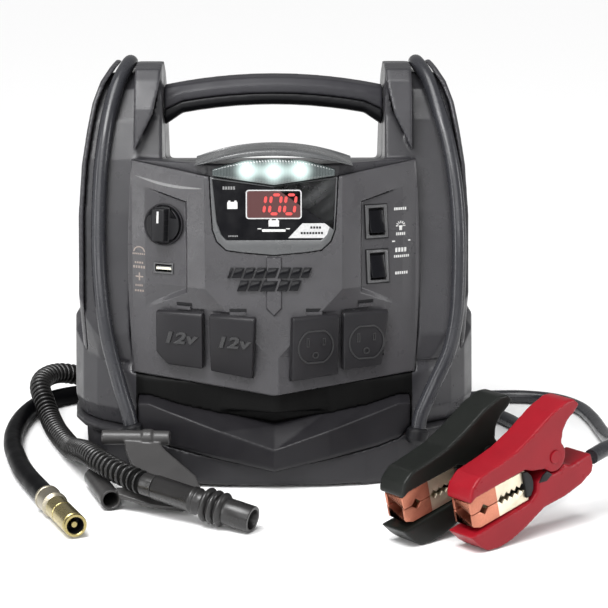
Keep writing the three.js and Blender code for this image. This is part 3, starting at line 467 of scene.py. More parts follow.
# Routes from gland or port to the far end, point by point.
LEFT_LEAD = [
    (-106.5, -88.5, 46), (-108.5, -87.5, 54), (-112.5, -85, 67), (-117.5, -81.5, 85), (-123, -79, 108),
    (-127, -75.5, 135), (-129.3, -68.8, 165), (-129.3, -61.8, 201), (-127, -52.6, 239.5),
    (-122.5, -42, 268.8), (-116, -27, 292.5), (-109.5, -8, 304.6), (-108.5, 12, 304.3),
    (-111, 32.4, 293.5), (-115, 53.5, 271), (-118, 72, 239), (-120, 86.5, 202), (-121, 98.5, 156.5),
    (-121, 110.8, 111), (-118, 113.5, 70),
    (-113, 114.5, 30), (-104, 117, 12), (-88, 120, 6), (-60, 121.5, 5.8), (-20, 122, 5.8), (25, 122, 5.8),
    (70, 122, 5.8), (108, 122, 5.8), (140, 118, 5.8), (167, 103, 5.8), (187, 78, 5.8), (200, 45, 5.8),
    (209, 8, 5.8), (214, -30, 6.5), (214, -68, 14), (208, -103, 26), (196, -135, 36.5), (180, -156.5, 41.3),
]
RIGHT_LEAD = [
    (107, -90, 43), (108.6, -89, 52), (113.5, -87, 64), (121, -84, 80), (129.5, -82, 99), (134.5, -79, 122),
    (136.5, -75.5, 150), (136.5, -70.5, 188), (134, -62, 222), (129.5, -51, 250), (122.5, -38, 275),
    (115.5, -22, 295.5), (109.5, -6, 304.8), (108.5, 12, 304.3), (111, 32.4, 293.5), (115, 53.5, 271),
    (118, 72, 239), (120, 86.5, 202), (121, 98.5, 156.5), (121, 110.8, 111), (120, 114, 75), (122, 117, 45),
    (129, 124, 25), (142, 132, 11), (162, 139, 6), (188, 143, 5.8), (216, 142, 5.8), (240, 131, 5.8),
    (256, 106, 5.8), (262, 72, 5.8), (264, 32, 5.8), (265, -8, 9), (265, -50, 19), (261, -92, 31),
    (251, -129, 41.5), (236, -157, 45.5), (223.5, -171, 43.5),
]
AIR_HOSE = [
    (-88, 115.8, 58), (-88, 126, 57.7), (-89.5, 144, 53), (-95, 162, 40), (-106, 173, 23),
    (-122, 174, 11), (-142, 166, 8), (-163, 152.5, 7.8), (-184, 137, 7.8), (-198, 114, 7.8), (-205, 86, 7.8),
    (-208, 56, 7.8), (-208, 24, 7.8), (-204.5, -10, 7.8), (-198, -42, 7.8), (-190, -74, 8), (-180, -105, 8.6),
    (-169, -135, 9.3), (-162.6, -152.8, 9.7),
]
DUCT_HOSE = [
    (-40, 115.8, 62), (-40, 128, 61.7), (-42.5, 146, 57), (-50, 166, 46), (-65, 184, 32),
    (-88, 195, 19), (-116, 195, 11), (-144, 186, 12), (-166, 173, 18), (-184, 155, 25), (-194, 132, 27),
    (-196, 108, 25), (-190, 84, 18.5), (-183, 60, 11.5), (-175.5, 32, 9), (-166.5, 2, 9), (-157.5, -27, 10.5),
    (-148.5, -57, 17.2), (-139, -88, 24), (-127.5, -119, 26.6), (-116, -139, 26.4), (-104, -154, 25.2),
    (-91.5, -165.5, 23.4), (-84.5, -169.6, 22.4),
]
CABLE_RADIUS = 5.5
AIR_HOSE_RADIUS = 7.5
DUCT_RADIUS = 8.5
CHUCK_START, CHUCK_AIM = (-162.4, -153.4, 9.7), (0.375, -0.927, 0)
COUPLING_START, COUPLING_AIM = (-84, -169.9, 22.3), (0.872, -0.463, -0.16)


DUCT_PITCH, DUCT_CUFF, DUCT_GROOVE, DUCT_CREST, CUFF_SHARE = 6, 9, 2.6, 0.3, 0.8
SHADED_BELOW = 0.7


def duct_ring(s, length):
    """How high the rings stand at a distance along the hose: 1 on a crest, 0 in a groove."""
    if s < DUCT_CUFF or s > length - DUCT_CUFF:
        return CUFF_SHARE
    return max(0, math.sin(2 * math.pi * (s - DUCT_CUFF) / DUCT_PITCH)) ** 0.6


def duct_radius(s, length):
    return DUCT_RADIUS - DUCT_GROOVE + (DUCT_GROOVE + DUCT_CREST) * duct_ring(s, length)


def make_cords():
    """Both jumper leads and both hoses: each one's piece and the line that it follows."""
    cords = {}
    for name, route, radius, material, node in (
        ("jumper_cable_left", LEFT_LEAD, CABLE_RADIUS, JACKET, "jumper_lead_left"),
        ("jumper_cable_right", RIGHT_LEAD, CABLE_RADIUS, JACKET, "jumper_lead_right"),
        ("compressor_hose", AIR_HOSE, AIR_HOSE_RADIUS, HOSE, "air_hose"),
    ):
        line = smooth_route(route)
        cords[name] = cord_curve(name, line, radius, material, node), line
    line = smooth_route(DUCT_HOSE)
    vertices, faces = swept_mesh(line, duct_radius)
    duct = add_piece("corrugated_hose", vertices, faces, DUCT, sharp_angle=180)
    # Painted shade: the faces low in each groove take the near-black recess colour, so the grooves read darker
    # than the crests.
    duct.data.materials.append(RECESS_SHADE)
    rings = (len(faces) - 2) // DUCT_SIDES
    length = route_length(line)
    for polygon in duct.data.polygons:
        if duct_ring((polygon.index // DUCT_SIDES + 0.5) * length / rings, length) < SHADED_BELOW:
            polygon.material_index = 1
    cords["corrugated_hose"] = stand_for(duct, "inflator_hose"), line
    return cords


CORDS = make_cords()


# ---------------------------------------------------------------- the sloping front
FACE_HALF_WIDTH = 105
PANEL_INNER_X, PANEL_OUTER_X, PANEL_DEPTH = 63.5, 95, 4
SHOULDER_Z = 239.5


def mix(a, b, t):
    return a + (b - a) * t


def ramp(low, high, x):
    """0 below low, 1 above high, smooth between."""
    t = np.clip((x - low) / (high - low), 0, 1)
    return t * t * (3 - 2 * t)


def face_centre_y(z):
    return mix(-108, -86, (z - 72) / 168)


def face_y(x, z):
    """The front's plain surface: flat in the middle, narrowing to a ridge lower down."""
    flat = mix(3, 50, np.clip((z - 100) / 50, 0, 1))
    across = np.clip((np.abs(x) - flat) / (FACE_HALF_WIDTH - flat), 0, 1)
    return mix(face_centre_y(z), mix(-75, -60, (z - 82) / 162), across)


def face_edge_x(z):
    return FACE_HALF_WIDTH + 3.5 * np.sin(math.pi * np.clip((z - 80) / 165, 0, 1))


def face_bottom_z(x):
    return mix(72, 82.5, np.abs(x) / FACE_HALF_WIDTH)


def face_top_z(x):
    return mix(231, SHOULDER_Z, np.clip((np.abs(x) - 46) / 58, 0, 1))


def panel_y(x, z):
    sunk = np.clip((PANEL_OUTER_X - np.abs(x)) / (PANEL_OUTER_X - PANEL_INNER_X), 0, 1)
    return face_y(x, z) + PANEL_DEPTH * sunk


def on_face(x, z, surface, step=1):
    """The place of a piece on the front; its -Y axis points straight out."""
    across = (surface(x + step, z) - surface(x - step, z)) / (2 * step)
    up = (surface(x, z + step) - surface(x, z - step)) / (2 * step)
    turn = Matrix.Rotation(math.atan(across), 4, "Z") @ Matrix.Rotation(-math.atan(up), 4, "X")
    return Matrix.Translation((x, float(surface(x, z)), z)) @ turn


def outline_distance(x, z, outline):
    """Distance to a closed outline, positive inside it."""
    best = np.full(x.shape, 1e9)
    inside = np.zeros(x.shape, bool)
    for (ax, az), (bx, bz) in zip(outline, outline[1:] + outline[:1]):
        dx, dz = bx - ax, bz - az
        t = np.clip(((x - ax) * dx + (z - az) * dz) / (dx * dx + dz * dz), 0, 1)
        best = np.minimum(best, np.hypot(x - ax - t * dx, z - az - t * dz))
        crosses = (az > z) != (bz > z)
        with np.errstate(divide="ignore", invalid="ignore"):
            inside ^= crosses & (x < ax + dx * (z - az) / (dz if dz else 1e-9))
    return np.where(inside, best, -best)


def both_sides(half):
    return half + [(-x, z) for x, z in half[::-1] if x]


NOTCH = both_sides([
    (0, 174.2), (24.1, 176.4), (34.8, 177.9), (41.8, 184.5), (44.7, 192.8), (46, 213), (46.9, 232),
    (46.9, 260),
])
STRAP = both_sides([(0, 130.5), (5.5, 136), (5.5, 173)])
COVER_MIDDLE_Z, COVER_HINGE_UP, COVER_THICKNESS = 108, 20.6, 7
SOCKET_Z, SOCKETS_X, OUTLETS_X = 110, (-67, -29), (28.5, 65.5)
COVERS = {
    "dc_cover_left": (-67.4, [(-18, 4), (18, 4), (18, -38.3), (-9, -36.7), (-18, -27.7)]),
    "dc_cover_right": (-28, [(-17.6, 4), (17.6, 4), (14, -43), (-17.6, -39.2)]),
    "ac_cover_left": (27.8, [(-17.8, 4), (17.8, 4), (17.8, -42), (-17.8, -45)]),
    "ac_cover_right": (65.4, [(-17.8, 4), (17.8, 4), (12, -37.6), (-17.8, -39.8)]),
}
KNOB = on_face(-80.3, 194, panel_y)
USB = on_face(-80.9, 162, panel_y)
ROCKERS = {"jump": on_face(75, 196.2, panel_y), "inverter": on_face(76, 163.4, panel_y)}


def cover_place(name):
    """The place of a cover's hinge line."""
    x, _ = COVERS[name]
    away = Matrix.Translation((0, -COVER_THICKNESS / 2 - 1.2, COVER_HINGE_UP))
    return on_face(x, COVER_MIDDLE_Z, face_y, 16) @ away


def panel_depth(x, z):
    """How far the control panels are sunk: a sharp wall at the inner edge, a chamfer along the bottom."""
    reach = np.abs(x)
    share = np.clip((reach - PANEL_INNER_X) / (PANEL_OUTER_X - PANEL_INNER_X), 0, 1)
    wall = ramp(0, 0.9, reach - PANEL_INNER_X)
    below_top = mix(212, 221, share) - z
    bottom = np.clip((z - mix(145.5, 131, share)) / 3.4, 0, 1)
    depth = PANEL_DEPTH * (1 - share) * wall * ramp(0, 0.9, below_top) * bottom
    groove = ramp(0, 0.3, below_top) * ramp(0, 0.3, 1.1 - below_top) * ramp(0, 0.3, 0.85 - share)
    return depth + 1.6 * groove * wall * (reach > PANEL_INNER_X)


def fascia_y(x, z):
    """The finished surface of the front, with its sunk panels and raised strap."""
    return face_y(x, z) + panel_depth(x, z) - 1.8 * ramp(-0.4, 0.6, outline_distance(x, z, STRAP))


FASCIA_COLUMNS, FASCIA_ROWS = 437, 337
EDGE_INSET, RIM_WIDTH, RIM_DROP, SKIRT_DEPTH = 0.5, 1.8, 1.3, 4.2
NOTCH_DEPTH, SWITCH_WELL, BARREL_WELL, BARREL_RADIUS = 5.5, 9, 34, 12.8
OUTLET_HALF_X, OUTLET_HALF_Z = 15.5, 13.5
SWITCH_HOLE, USB_HOLE = (7.2, 10.8), (7.2, 3.4)


def fascia_grid():
    """The x and z of each point of the finished front, row by row from the bottom."""
    u = np.linspace(-1, 1, FASCIA_COLUMNS)
    v = np.linspace(0, 1, FASCIA_ROWS)
    x = np.tile(u * FACE_HALF_WIDTH, (FASCIA_ROWS, 1))
    for _ in range(3):
        z = mix(face_bottom_z(x), face_top_z(x), v[:, None])
        x = u * (face_edge_x(z) - EDGE_INSET)
    return x, z


def sunk_seats(x, z, depth):
    """The flat seats that the four covers shut on."""
    for name, (_, outline) in COVERS.items():
        place = cover_place(name)
        normal = place.to_3x3() @ Vector((0, 1, 0))
        seat = place @ Vector((0, COVER_THICKNESS / 2 + 0.3, 0))
        plane = (normal.dot(seat) - normal.x * x - normal.z * z) / normal.y
        corners = [place @ Vector((a * 1.035, 0, (b + 19) * 1.03 - 19)) for a, b in outline]
        inside = ramp(-0.3, 0.5, outline_distance(x, z, [(c.x, c.z) for c in corners]))
        depth = np.where(inside > 0, depth + inside * np.maximum(0, plane - depth), depth)
    return depth


def sunk_wells(x, z, depth):
    """The openings for switches, USB port, barrels and outlets."""
    for place, (half_x, half_z) in [(place, SWITCH_HOLE) for place in ROCKERS.values()] + [(USB, USB_HOLE)]:
        at, side = place.translation, place.to_3x3() @ Vector((1, 0, 0))
        across = (x - at.x) / side.x
        well = np.minimum(half_x - np.abs(across), half_z - np.abs(z - at.z))
        depth += SWITCH_WELL * ramp(0, 0.6, well)
    for socket_x in SOCKETS_X:
        depth += BARREL_WELL * ramp(0, 0.6, BARREL_RADIUS - np.hypot(x - socket_x, z - SOCKET_Z))
    for outlet_x in OUTLETS_X:
        well = np.minimum(OUTLET_HALF_X - np.abs(x - outlet_x), OUTLET_HALF_Z - np.abs(z - SOCKET_Z))
        depth += SWITCH_WELL * ramp(0, 0.6, well)
    return depth


def make_fascia():
    x, z = fascia_grid()
    depth = fascia_y(x, z)
    rim = np.minimum(np.minimum(face_edge_x(z) - np.abs(x), face_top_z(x) - z), z - face_bottom_z(x))
    depth += RIM_DROP * (1 - np.sqrt(1 - (1 - np.clip(rim / RIM_WIDTH, 0, 1)) ** 2))
    depth += NOTCH_DEPTH * ramp(-0.35, 0.35, outline_distance(x, z, NOTCH))
    depth = sunk_wells(x, z, sunk_seats(x, z, depth))
    vertices = list(zip(x.ravel(), depth.ravel(), z.ravel()))
    faces = loft_faces(FASCIA_ROWS, FASCIA_COLUMNS, closed=False)
    front_faces = len(faces)
    edge = rim_of(FASCIA_ROWS, FASCIA_COLUMNS)
    start = len(vertices)
    vertices += [(vertices[i][0], vertices[i][1] + SKIRT_DEPTH, vertices[i][2]) for i in edge]
    centre = len(vertices)
    vertices.append((0, -52, 150))
    for i, here in enumerate(edge):
        after = (i + 1) % len(edge)
        faces.append((here, edge[after], start + after, start + i))
        faces.append((start + i, start + after, centre))
    panel = add_piece("fascia", vertices, faces, FASCIA, sharp_angle=50)
    # Painted shade: the skirt round the edge of the front and its back are black, standing in for the shade in
    # the gap round the fascia.
    panel.data.materials.append(BLACK)
    for polygon in panel.data.polygons[front_faces:]:
        polygon.material_index = 1
    stand_for(panel, "fascia_panel")


make_fascia()


# ---------------------------------------------------------------- display and lamp
def face_sheet(outline, front, back):
    """A flat piece with an (x, z) outline that leans with the middle of the front."""
    return leaning(prism_mesh(outline, front, back))


def face_box(x0, x1, z0, z1, front=-1.45, back=-1.2):
    return face_sheet([(x0, z0), (x1, z0), (x1, z1), (x0, z1)], front, back)


def flat_ring(outer, inner, front, back):
    """A closed frame between two outlines with the same number of points, facing -Y."""
    count = len(outer)
    vertices = []
    for y, points in ((front, outer), (back, outer), (back, inner), (front, inner)):
        vertices += [(x, y, z) for x, z in points]
    faces = []
    for layer in range(4):
        for i in range(count):
            after = (i + 1) % count
            here, there = layer * count, (layer + 1) % 4 * count
            faces.append((here + i, here + after, there + after, there + i))
    return vertices, faces


def leaning(mesh):
    """The mesh moved back with the middle of the sloping front."""
    vertices, faces = mesh
    return [(x, y + face_centre_y(z), z) for x, y, z in vertices], faces


def ring_sheet(outer, inner, front, back):
    return leaning(flat_ring(outer, inner, front, back))


def rounded_box(half_x, half_z, radius, middle=(0, 0), steps=5):
    points = []
    for quarter in range(4):
        sx, sz = ((1, 1), (-1, 1), (-1, -1), (1, -1))[quarter]
        for step in range(steps + 1):
            angle = math.pi / 2 * (quarter + step / steps)
            points.append((
                middle[0] + sx * (half_x - radius) + radius * math.cos(angle),
                middle[1] + sz * (half_z - radius) + radius * math.sin(angle),
            ))
    return points


SEGMENTS = {
    "top": ((0.12, 1), (0.88, 1)), "middle": ((0.12, 0.5), (0.88, 0.5)), "bottom": ((0.12, 0), (0.88, 0)),
    "upper_left": ((0, 0.94), (0, 0.56)), "lower_left": ((0, 0.44), (0, 0.06)),
    "upper_right": ((1, 0.94), (1, 0.56)), "lower_right": ((1, 0.44), (1, 0.06)),
}
DIGITS = {
    "1": ("upper_right", "lower_right"),
    "0": ("top", "bottom", "upper_left", "lower_left", "upper_right", "lower_right"),
}


def digit_mesh(digit, x, z, width=7.2, height=13.6, thick=2.1, slant=0.14):
    meshes = []
    for segment in DIGITS[digit]:
        (ax, az), (bx, bz) = SEGMENTS[segment]
        a = Vector((x + ax * width + az * height * slant, z + az * height))
        b = Vector((x + bx * width + bz * height * slant, z + bz * height))
        along = (b - a).normalized()
        across = Vector((-along.y, along.x)) * thick / 2
        tip = along * thick / 2
        outline = [a, a + tip + across, b - tip + across, b, b - tip - across, a + tip - across]
        meshes.append(face_sheet([(p.x, p.y) for p in outline], -1.6, -1.35))
    return merged(*meshes)


WINDOW = [(0, 185.8), (34, 185.8), (36.4, 187), (38, 190), (41.2, 199), (44.2, 229), (0, 223)]


def battery_icon(x, z, half_x, half_z):
    """A box with two posts on top."""
    top = z + half_z
    posts = [face_box(at - 0.8, at + 0.8, top, top + 1) for at in (x - 0.6 * half_x, x + 0.6 * half_x)]
    return [face_box(x - half_x, x + half_x, z - half_z, top), *posts]


def bar_row(x, step, width, z0, z1, count, front=-1.45, back=-1.2):
    return [face_box(x + i * step, x + i * step + width, z0, z1, front, back) for i in range(count)]


DIGITS_Z = 211.3


def make_display():
    bevelled("display_bezel", HOOD, 1.1, 3)
    pane = face_sheet(both_sides(WINDOW), -1.2, 0.8)
    stand_for(add_piece("window_pane", *pane, GLOSS, sharp_angle=20), "display_window")
    inner = rounded_box(19.4, 9.7, 1.5, (0, DIGITS_Z))
    add_piece("digit_window", *face_sheet(inner, -1.35, -1.15), LED_PANEL, slot="gloss_black")
    rim = ring_sheet(rounded_box(20.3, 10.5, 2.2, (0, DIGITS_Z)), inner, -1.75, -1.1)
    add_piece("digit_rim", *rim, SILVER, slot="steel")
    digits = [digit_mesh(digit, x, DIGITS_Z - 6.8) for digit, x in (("1", -14.6), ("0", -3.4), ("0", 7.4))]
    add_piece("display_digits", *merged(*digits), LED_RED, slot="gloss_black", sharp_angle=20)
    icons = battery_icon(-30, 210.6, 3.7, 2.5) + battery_icon(0, 197.6, 3.8, 2.2)
    icons.append(face_box(-8.5, 8.5, 191.6, 193.4))
    icons += [face_box(side * 10.4 - 1.4, side * 10.4 + 1.4, 193.4, 194.1) for side in (-1, 1)]
    dial, hub = rounded_box(2.7, 2.7, 2.69, (27.5, 211)), rounded_box(2.1, 2.1, 2.09, (27.5, 211))
    icons.append(ring_sheet(dial, hub, -1.45, -1.2))
    icons.append(face_sheet([(26.4, 209.6), (27, 209.6), (28.8, 212.6), (28.2, 212.6)], -1.45, -1.2))
    icons += bar_row(31.6, 1.5, 0.8, 209.4, 212.8, 3)
    icons.append(face_box(31.6, 35.4, 209.4, 210.1))
    add_piece("display_icons", *merged(*icons), WHITE_PRINT, slot="gloss_black", sharp_angle=20)
    corner = face_sheet([(10.5, 187), (38.4, 187), (40.2, 191), (41.4, 197.6), (20.8, 197.6)], -1.4, -1.15)
    add_piece("display_corner", *corner, SILVER, slot="steel", sharp_angle=20)
    rows = bar_row(26.5, 2.1, 1.5, 193.8, 195.4, 4, -1.5, -1.35)
    rows += bar_row(19.5, 2.1, 1.5, 189.8, 191.4, 8, -1.5, -1.35)
    add_piece("corner_marks", *merged(*rows), BLACK, slot="black_plastic", sharp_angle=20)
    faint = bar_row(-37, 1.9, 1.3, 222, 224.2, 5) + bar_row(-33, 1.2, 0.8, 188, 189, 6)
    add_piece("window_marks", *merged(*faint), GREY_PRINT, slot="gloss_black", sharp_angle=20)


LED_POSITIONS = ((-19.2, 236.4), (0, 235.6), (19.2, 236.4))
GLOW_REACH = 17


def lens_material():
    """Clear ribbed plastic lit from behind: bright round each lamp, fading outwards."""
    material, nodes, links, shader = new_material("lamp_lens")
    coords = nodes.new("ShaderNodeTexCoord")

    def sum_of(operation, value, other):
        node = nodes.new("ShaderNodeMath")
        node.operation = operation
        links.new(value, node.inputs[0])
        if isinstance(other, float):
            node.inputs[1].default_value = other
        else:
            links.new(other, node.inputs[1])
        return node.outputs["Value"]

    glows = []
    for x, z in LED_POSITIONS:
        distance = nodes.new("ShaderNodeVectorMath")
        distance.operation = "DISTANCE"
        distance.inputs[1].default_value = Vector((x, face_centre_y(z) - 6, z)) * MM
        links.new(coords.outputs["Object"], distance.inputs[0])
        fade = nodes.new("ShaderNodeMapRange")
        fade.interpolation_type = "SMOOTHERSTEP"
        put(fade, from_max=GLOW_REACH * MM, to_min=1, to_max=0)
        links.new(distance.outputs["Value"], fade.inputs["Value"])
        glows.append(fade.outputs["Result"])
    total = sum_of("ADD", sum_of("ADD", glows[0], glows[1]), glows[2])
    strength = sum_of("MULTIPLY", sum_of("POWER", total, 2.6), 1.5)
    links.new(strength, shader.inputs["Emission Strength"])
    put(shader, emission_color=(0.8, 1.0, 0.96, 1), base_color=(0.05, 0.06, 0.06, 1))
    put(shader, roughness=0.12, coat_weight=0.5)
    return material


def lens_top_z(x):
    return 244.2 - 7.6 * (abs(x) / 44.4) ** 2.2


HOOD_HALF_LENGTH, HOOD_CROWN, HOOD_END, HOOD_FRONT, HOOD_BACK = 57.5, 252.4, 239.6, -95.6, -36


def make_hood():
    """A low dome over the lamp: thick in the middle and tapering to nothing at both ends."""
    columns, ring_count = 121, 34
    vertices = []
    for c in range(columns):
        share = abs(2 * c / (columns - 1) - 1)
        x = mix(-HOOD_HALF_LENGTH, HOOD_HALF_LENGTH, c / (columns - 1))
        crown = mix(HOOD_CROWN, HOOD_END, share ** 2.1)
        lip = min(crown - 1.2, mix(246.4, 238.4, share ** 2))
        front = mix(HOOD_FRONT, HOOD_FRONT + 10, share ** 4)
        thick = crown - lip
        for i in range(ring_count):
            angle = 2 * math.pi * i / ring_count
            up = math.copysign(abs(math.sin(angle)) ** 0.5, math.sin(angle))
            along = math.copysign(abs(math.cos(angle)) ** 0.32, math.cos(angle))
            y = mix(front, HOOD_BACK, 0.5 + 0.5 * along)
            lean = 2.6 * max(0, (y - front) / (HOOD_BACK - front))
            vertices.append((x, y, (crown + lip) / 2 + up * thick / 2 - lean * (up > 0)))
    faces = loft_faces(columns, ring_count)
    faces.append(tuple(range(ring_count))[::-1])
    faces.append(tuple(range((columns - 1) * ring_count, columns * ring_count)))
    stand_for(add_piece("lamp_hood", vertices, faces, HOOD, sharp_angle=50), "light_hood")


def make_lamp():
    """The lens: a ribbed sheet from the V-shaped lower edge up to the hood."""
    columns, rows = 401, 16
    vertices = []
    for back in (0, 5):
        for r in range(rows + 1):
            for c in range(columns):
                x = mix(-44.2, 44.2, c / (columns - 1))
                low = mix(225.7, 232.2, abs(x) / 44.4)
                z = mix(low, lens_top_z(x), r / rows)
                rib = 0.32 * abs(math.sin(math.pi * x / 2.1)) if not back else 0
                edge = min(r, rows - r, 2) / 2
                vertices.append((x, face_centre_y(z) - 5.6 - rib * edge + (1 - edge) * 0.6 + back, z))
    sheet = columns * (rows + 1)
    faces = loft_faces(rows + 1, columns, closed=False)
    faces += [tuple(sheet + i for i in face[::-1]) for face in faces]
    edge = rim_of(rows + 1, columns)
    for i, here in enumerate(edge):
        after = edge[(i + 1) % len(edge)]
        faces.append((here, sheet + here, sheet + after, after))
    stand_for(add_piece("lamp_lens", vertices, faces, lens_material(), sharp_angle=60), "light_lens")
    bulb = lathe_mesh([(0.01, -1.4), (1.6, -1.2), (2.2, -0.4), (2.2, 0.3), (0.01, 0.3)], 24)
    places = [Matrix.Translation((x, face_centre_y(z) - 5.95, z)) for x, z in LED_POSITIONS]
    add_piece("lamp_leds", *merged(*(moved(bulb, place) for place in places)), LED_WHITE, slot="clear_lens")
    make_hood()


make_display()
make_lamp()


# ---------------------------------------------------------------- printed marks and emblem
def face_mark(points, raise_by=0.12):
    """A thin (x, z) patch lying on the finished front."""
    x = np.array([p[0] for p in points], float)
    z = np.array([p[1] for p in points], float)
    y = fascia_y(x, z)
    count = len(points)
    vertices = [(x[i], y[i] - raise_by, z[i]) for i in range(count)]
    vertices += [(x[i], y[i] - raise_by + 0.42, z[i]) for i in range(count)]
    faces = [tuple(range(count)), tuple(range(count, 2 * count))[::-1]]
    faces += [(i, (i + 1) % count, count + (i + 1) % count, count + i) for i in range(count)]
    return vertices, faces


def mark_box(x0, x1, z0, z1):
    return face_mark([(x0, z0), (x1, z0), (x1, z1), (x0, z1)])


def mark_row(x0, x1, z0, z1, count):
    """A row of short bars that stands in for a printed label."""
    step = (x1 - x0) / count
    return [mark_box(x0 + i * step, x0 + i * step + 0.68 * step, z0, z1) for i in range(count)]


def arc_point(middle_x, middle_z, radius, angle):
    return middle_x + radius * math.cos(angle), middle_z + radius * math.sin(angle)


def make_left_labels():
    """A half dial and a plus sign, with rows of bars under them."""
    marks, steps = [], 12
    for i in range(steps):
        a, b = (math.pi * (0.04 + 0.92 * (i + k) / steps) for k in (0, 1))
        corners = ((4.6, a), (4.6, b), (3.7, b), (3.7, a))
        marks.append(face_mark([arc_point(-99.5, 172.2, radius, angle) for radius, angle in corners]))
    marks += mark_row(-104.6, -94.6, 170.6, 171.7, 7)
    marks += mark_row(-103, -96, 164, 165.4, 4) + mark_row(-104.2, -94.6, 160.6, 162.4, 5)
    marks += [mark_box(-102.4, -96.6, 153.9, 154.9), mark_box(-100, -99, 151.5, 157.3)]
    marks += mark_row(-102.6, -96.6, 147.2, 148.6, 4) + mark_row(-103, -95.6, 143.2, 144.6, 4)
    add_piece("left_labels", *merged(*marks), WARM_PRINT, slot="case_plastic", sharp_angle=20)


def make_right_labels():
    """A shining lamp and a dividing line between rows of bars."""
    marks = mark_row(88.6, 98.2, 203.4, 205.4, 6)
    for i in range(7):
        angle = math.pi * i / 6
        side = Vector((-math.sin(angle), math.cos(angle))) * 0.35
        a, b = (Vector(arc_point(93.6, 191.9, radius, angle)) for radius in (1.9, 3.6))
        marks.append(face_mark([a + side, a - side, b - side, b + side]))
    lamp = [(92, 192), (92.6, 190.4), (92.6, 188.6), (94.6, 188.6), (94.6, 190.4), (95.2, 192)]
    marks.append(face_mark(lamp))
    marks += mark_row(90.2, 97.4, 184.9, 187, 5)
    marks.append(mark_box(87.2, 101, 180.2, 181.2))
    marks += mark_row(89.6, 98.6, 172.6, 175.8, 4) + mark_row(88.6, 100.4, 168.6, 170.4, 8)
    marks += mark_row(89.6, 99.4, 156.2, 158.2, 6)
    add_piece("right_labels", *merged(*marks), WHITE_PRINT, slot="case_plastic", sharp_angle=20)


def make_stripe():
    """One pale stroke in the upper left corner, tapering to both ends."""
    steps = 24

    def edge_points(t):
        z = 228.6 - 6.4 * t - 2.4 * math.sin(math.pi * t)
        half = 0.95 * math.sin(math.pi * t) ** 0.7 + 0.08
        return (-102 + 50 * t, z - half), (-102 + 50 * t, z + half)

    stripe = []
    for i in range(steps):
        (low_a, high_a), (low_b, high_b) = edge_points(i / steps), edge_points((i + 1) / steps)
        stripe.append(face_mark([low_a, low_b, high_b, high_a]))
    add_piece("silver_stripe", *merged(*stripe), GREY_PRINT, slot="steel", sharp_angle=20)


EMBLEM_ROWS = ((158.2, -34, (3.5, 8, 8, 8, 9, 9, 8, 7)), (148.8, -27, (8, 9, 12, 9, 8)))
EMBLEM_SLANT, EMBLEM_HEIGHT, EMBLEM_GAP = 2.6, 7.4, 1.6


def make_emblem():
    """Two rows of slanted raised bars in place of lettering: height, start and widths of each row."""
    emblem = []
    for row_z, x, widths in EMBLEM_ROWS:
        for i, width in enumerate(widths):
            low, high = row_z + 0.25 * math.sin(i * 2), row_z + EMBLEM_HEIGHT
            right = x + width - EMBLEM_GAP
            outline = [(x, low), (right, low), (right + EMBLEM_SLANT, high), (x + EMBLEM_SLANT, high)]
            bar, faces = prism_mesh(outline, -2.6, 0.6, 0.5, 2)
            emblem.append(([(px, py + face_y(np.float64(px), pz), pz) for px, py, pz in bar], faces))
            x += width
    add_piece("raised_emblem", *merged(*emblem), GLOSS, slot="gloss_black", sharp_angle=25)


make_left_labels()
make_right_labels()
make_stripe()
make_emblem()


# ---------------------------------------------------------------- knob, rockers, port
def make_controls():
    bevelled("selector_dial_ring", DARK, 0.5, 3)
    bevelled("selector_knob", BLACK, 0.9, 3)
    pointer = prism_mesh([(-0.75, 1.5), (0.75, 1.5), (0.75, 10), (-0.75, 10)], -13.15, -12.7)
    add_piece("knob_pointer", *moved(pointer, KNOB), WHITE_PRINT, body="knob", slot="black_plastic")
    notches = []
    for x in (-5.02, 5.02):
        notches += [box_mesh(x - 0.12, x + 0.12, -12, -5, -9 + 4.2 * i, -8.2 + 4.2 * i) for i in range(5)]
    add_piece("knob_flutes", *moved(merged(*notches), KNOB), BLACK, body="knob", slot="black_plastic")
    for name, place in ROCKERS.items():
        bevelled(f"{name}_switch_frame", PORT_GREY, 0.45, 2)
        bevelled(f"{name}_switch_rocker", GLOSS, 0.35, 2)
        # Painted shadow: a thin black ring round each switch frame stands in for the shade in the gap.
        shadow = flat_ring(rounded_box(9.4, 12.9, 0.6), rounded_box(8.7, 12.2, 0.4), -0.25, 0.2)
        add_piece(f"{name}_switch_gap_shadow", *moved(shadow, place), BLACK, slot="black_plastic", sharp_angle=20)
    bevelled("usb_port", PORT_GREY, 0.25, 2)
    tongue = box_mesh(-5.9, 5.9, -0.4, 9, -1.0, 0.75)
    add_piece("usb_tongue", *moved(tongue, USB), CREAM, slot="steel")
    # Painted shade: a black sheet at the back of the port stands in for the dark of its depth.
    port_depth_shade = box_mesh(-6.5, 6.5, 9.4, 10.6, -2.7, 2.7)
    add_piece("usb_depth_shade", *moved(port_depth_shade, USB), BLACK, slot="black_plastic")


make_controls()


# ---------------------------------------------------------------- covers and sockets
def outlet_outline(half_x, half_z, steps=10):
    """Flat top and bottom, round sides."""
    flat = math.asin(half_z / half_x)
    angles = [mix(-flat, flat, i / steps) for i in range(steps + 1)]
    points = [(half_x * math.cos(a), half_x * math.sin(a)) for a in angles]
    return points + [(-x, -z) for x, z in points]


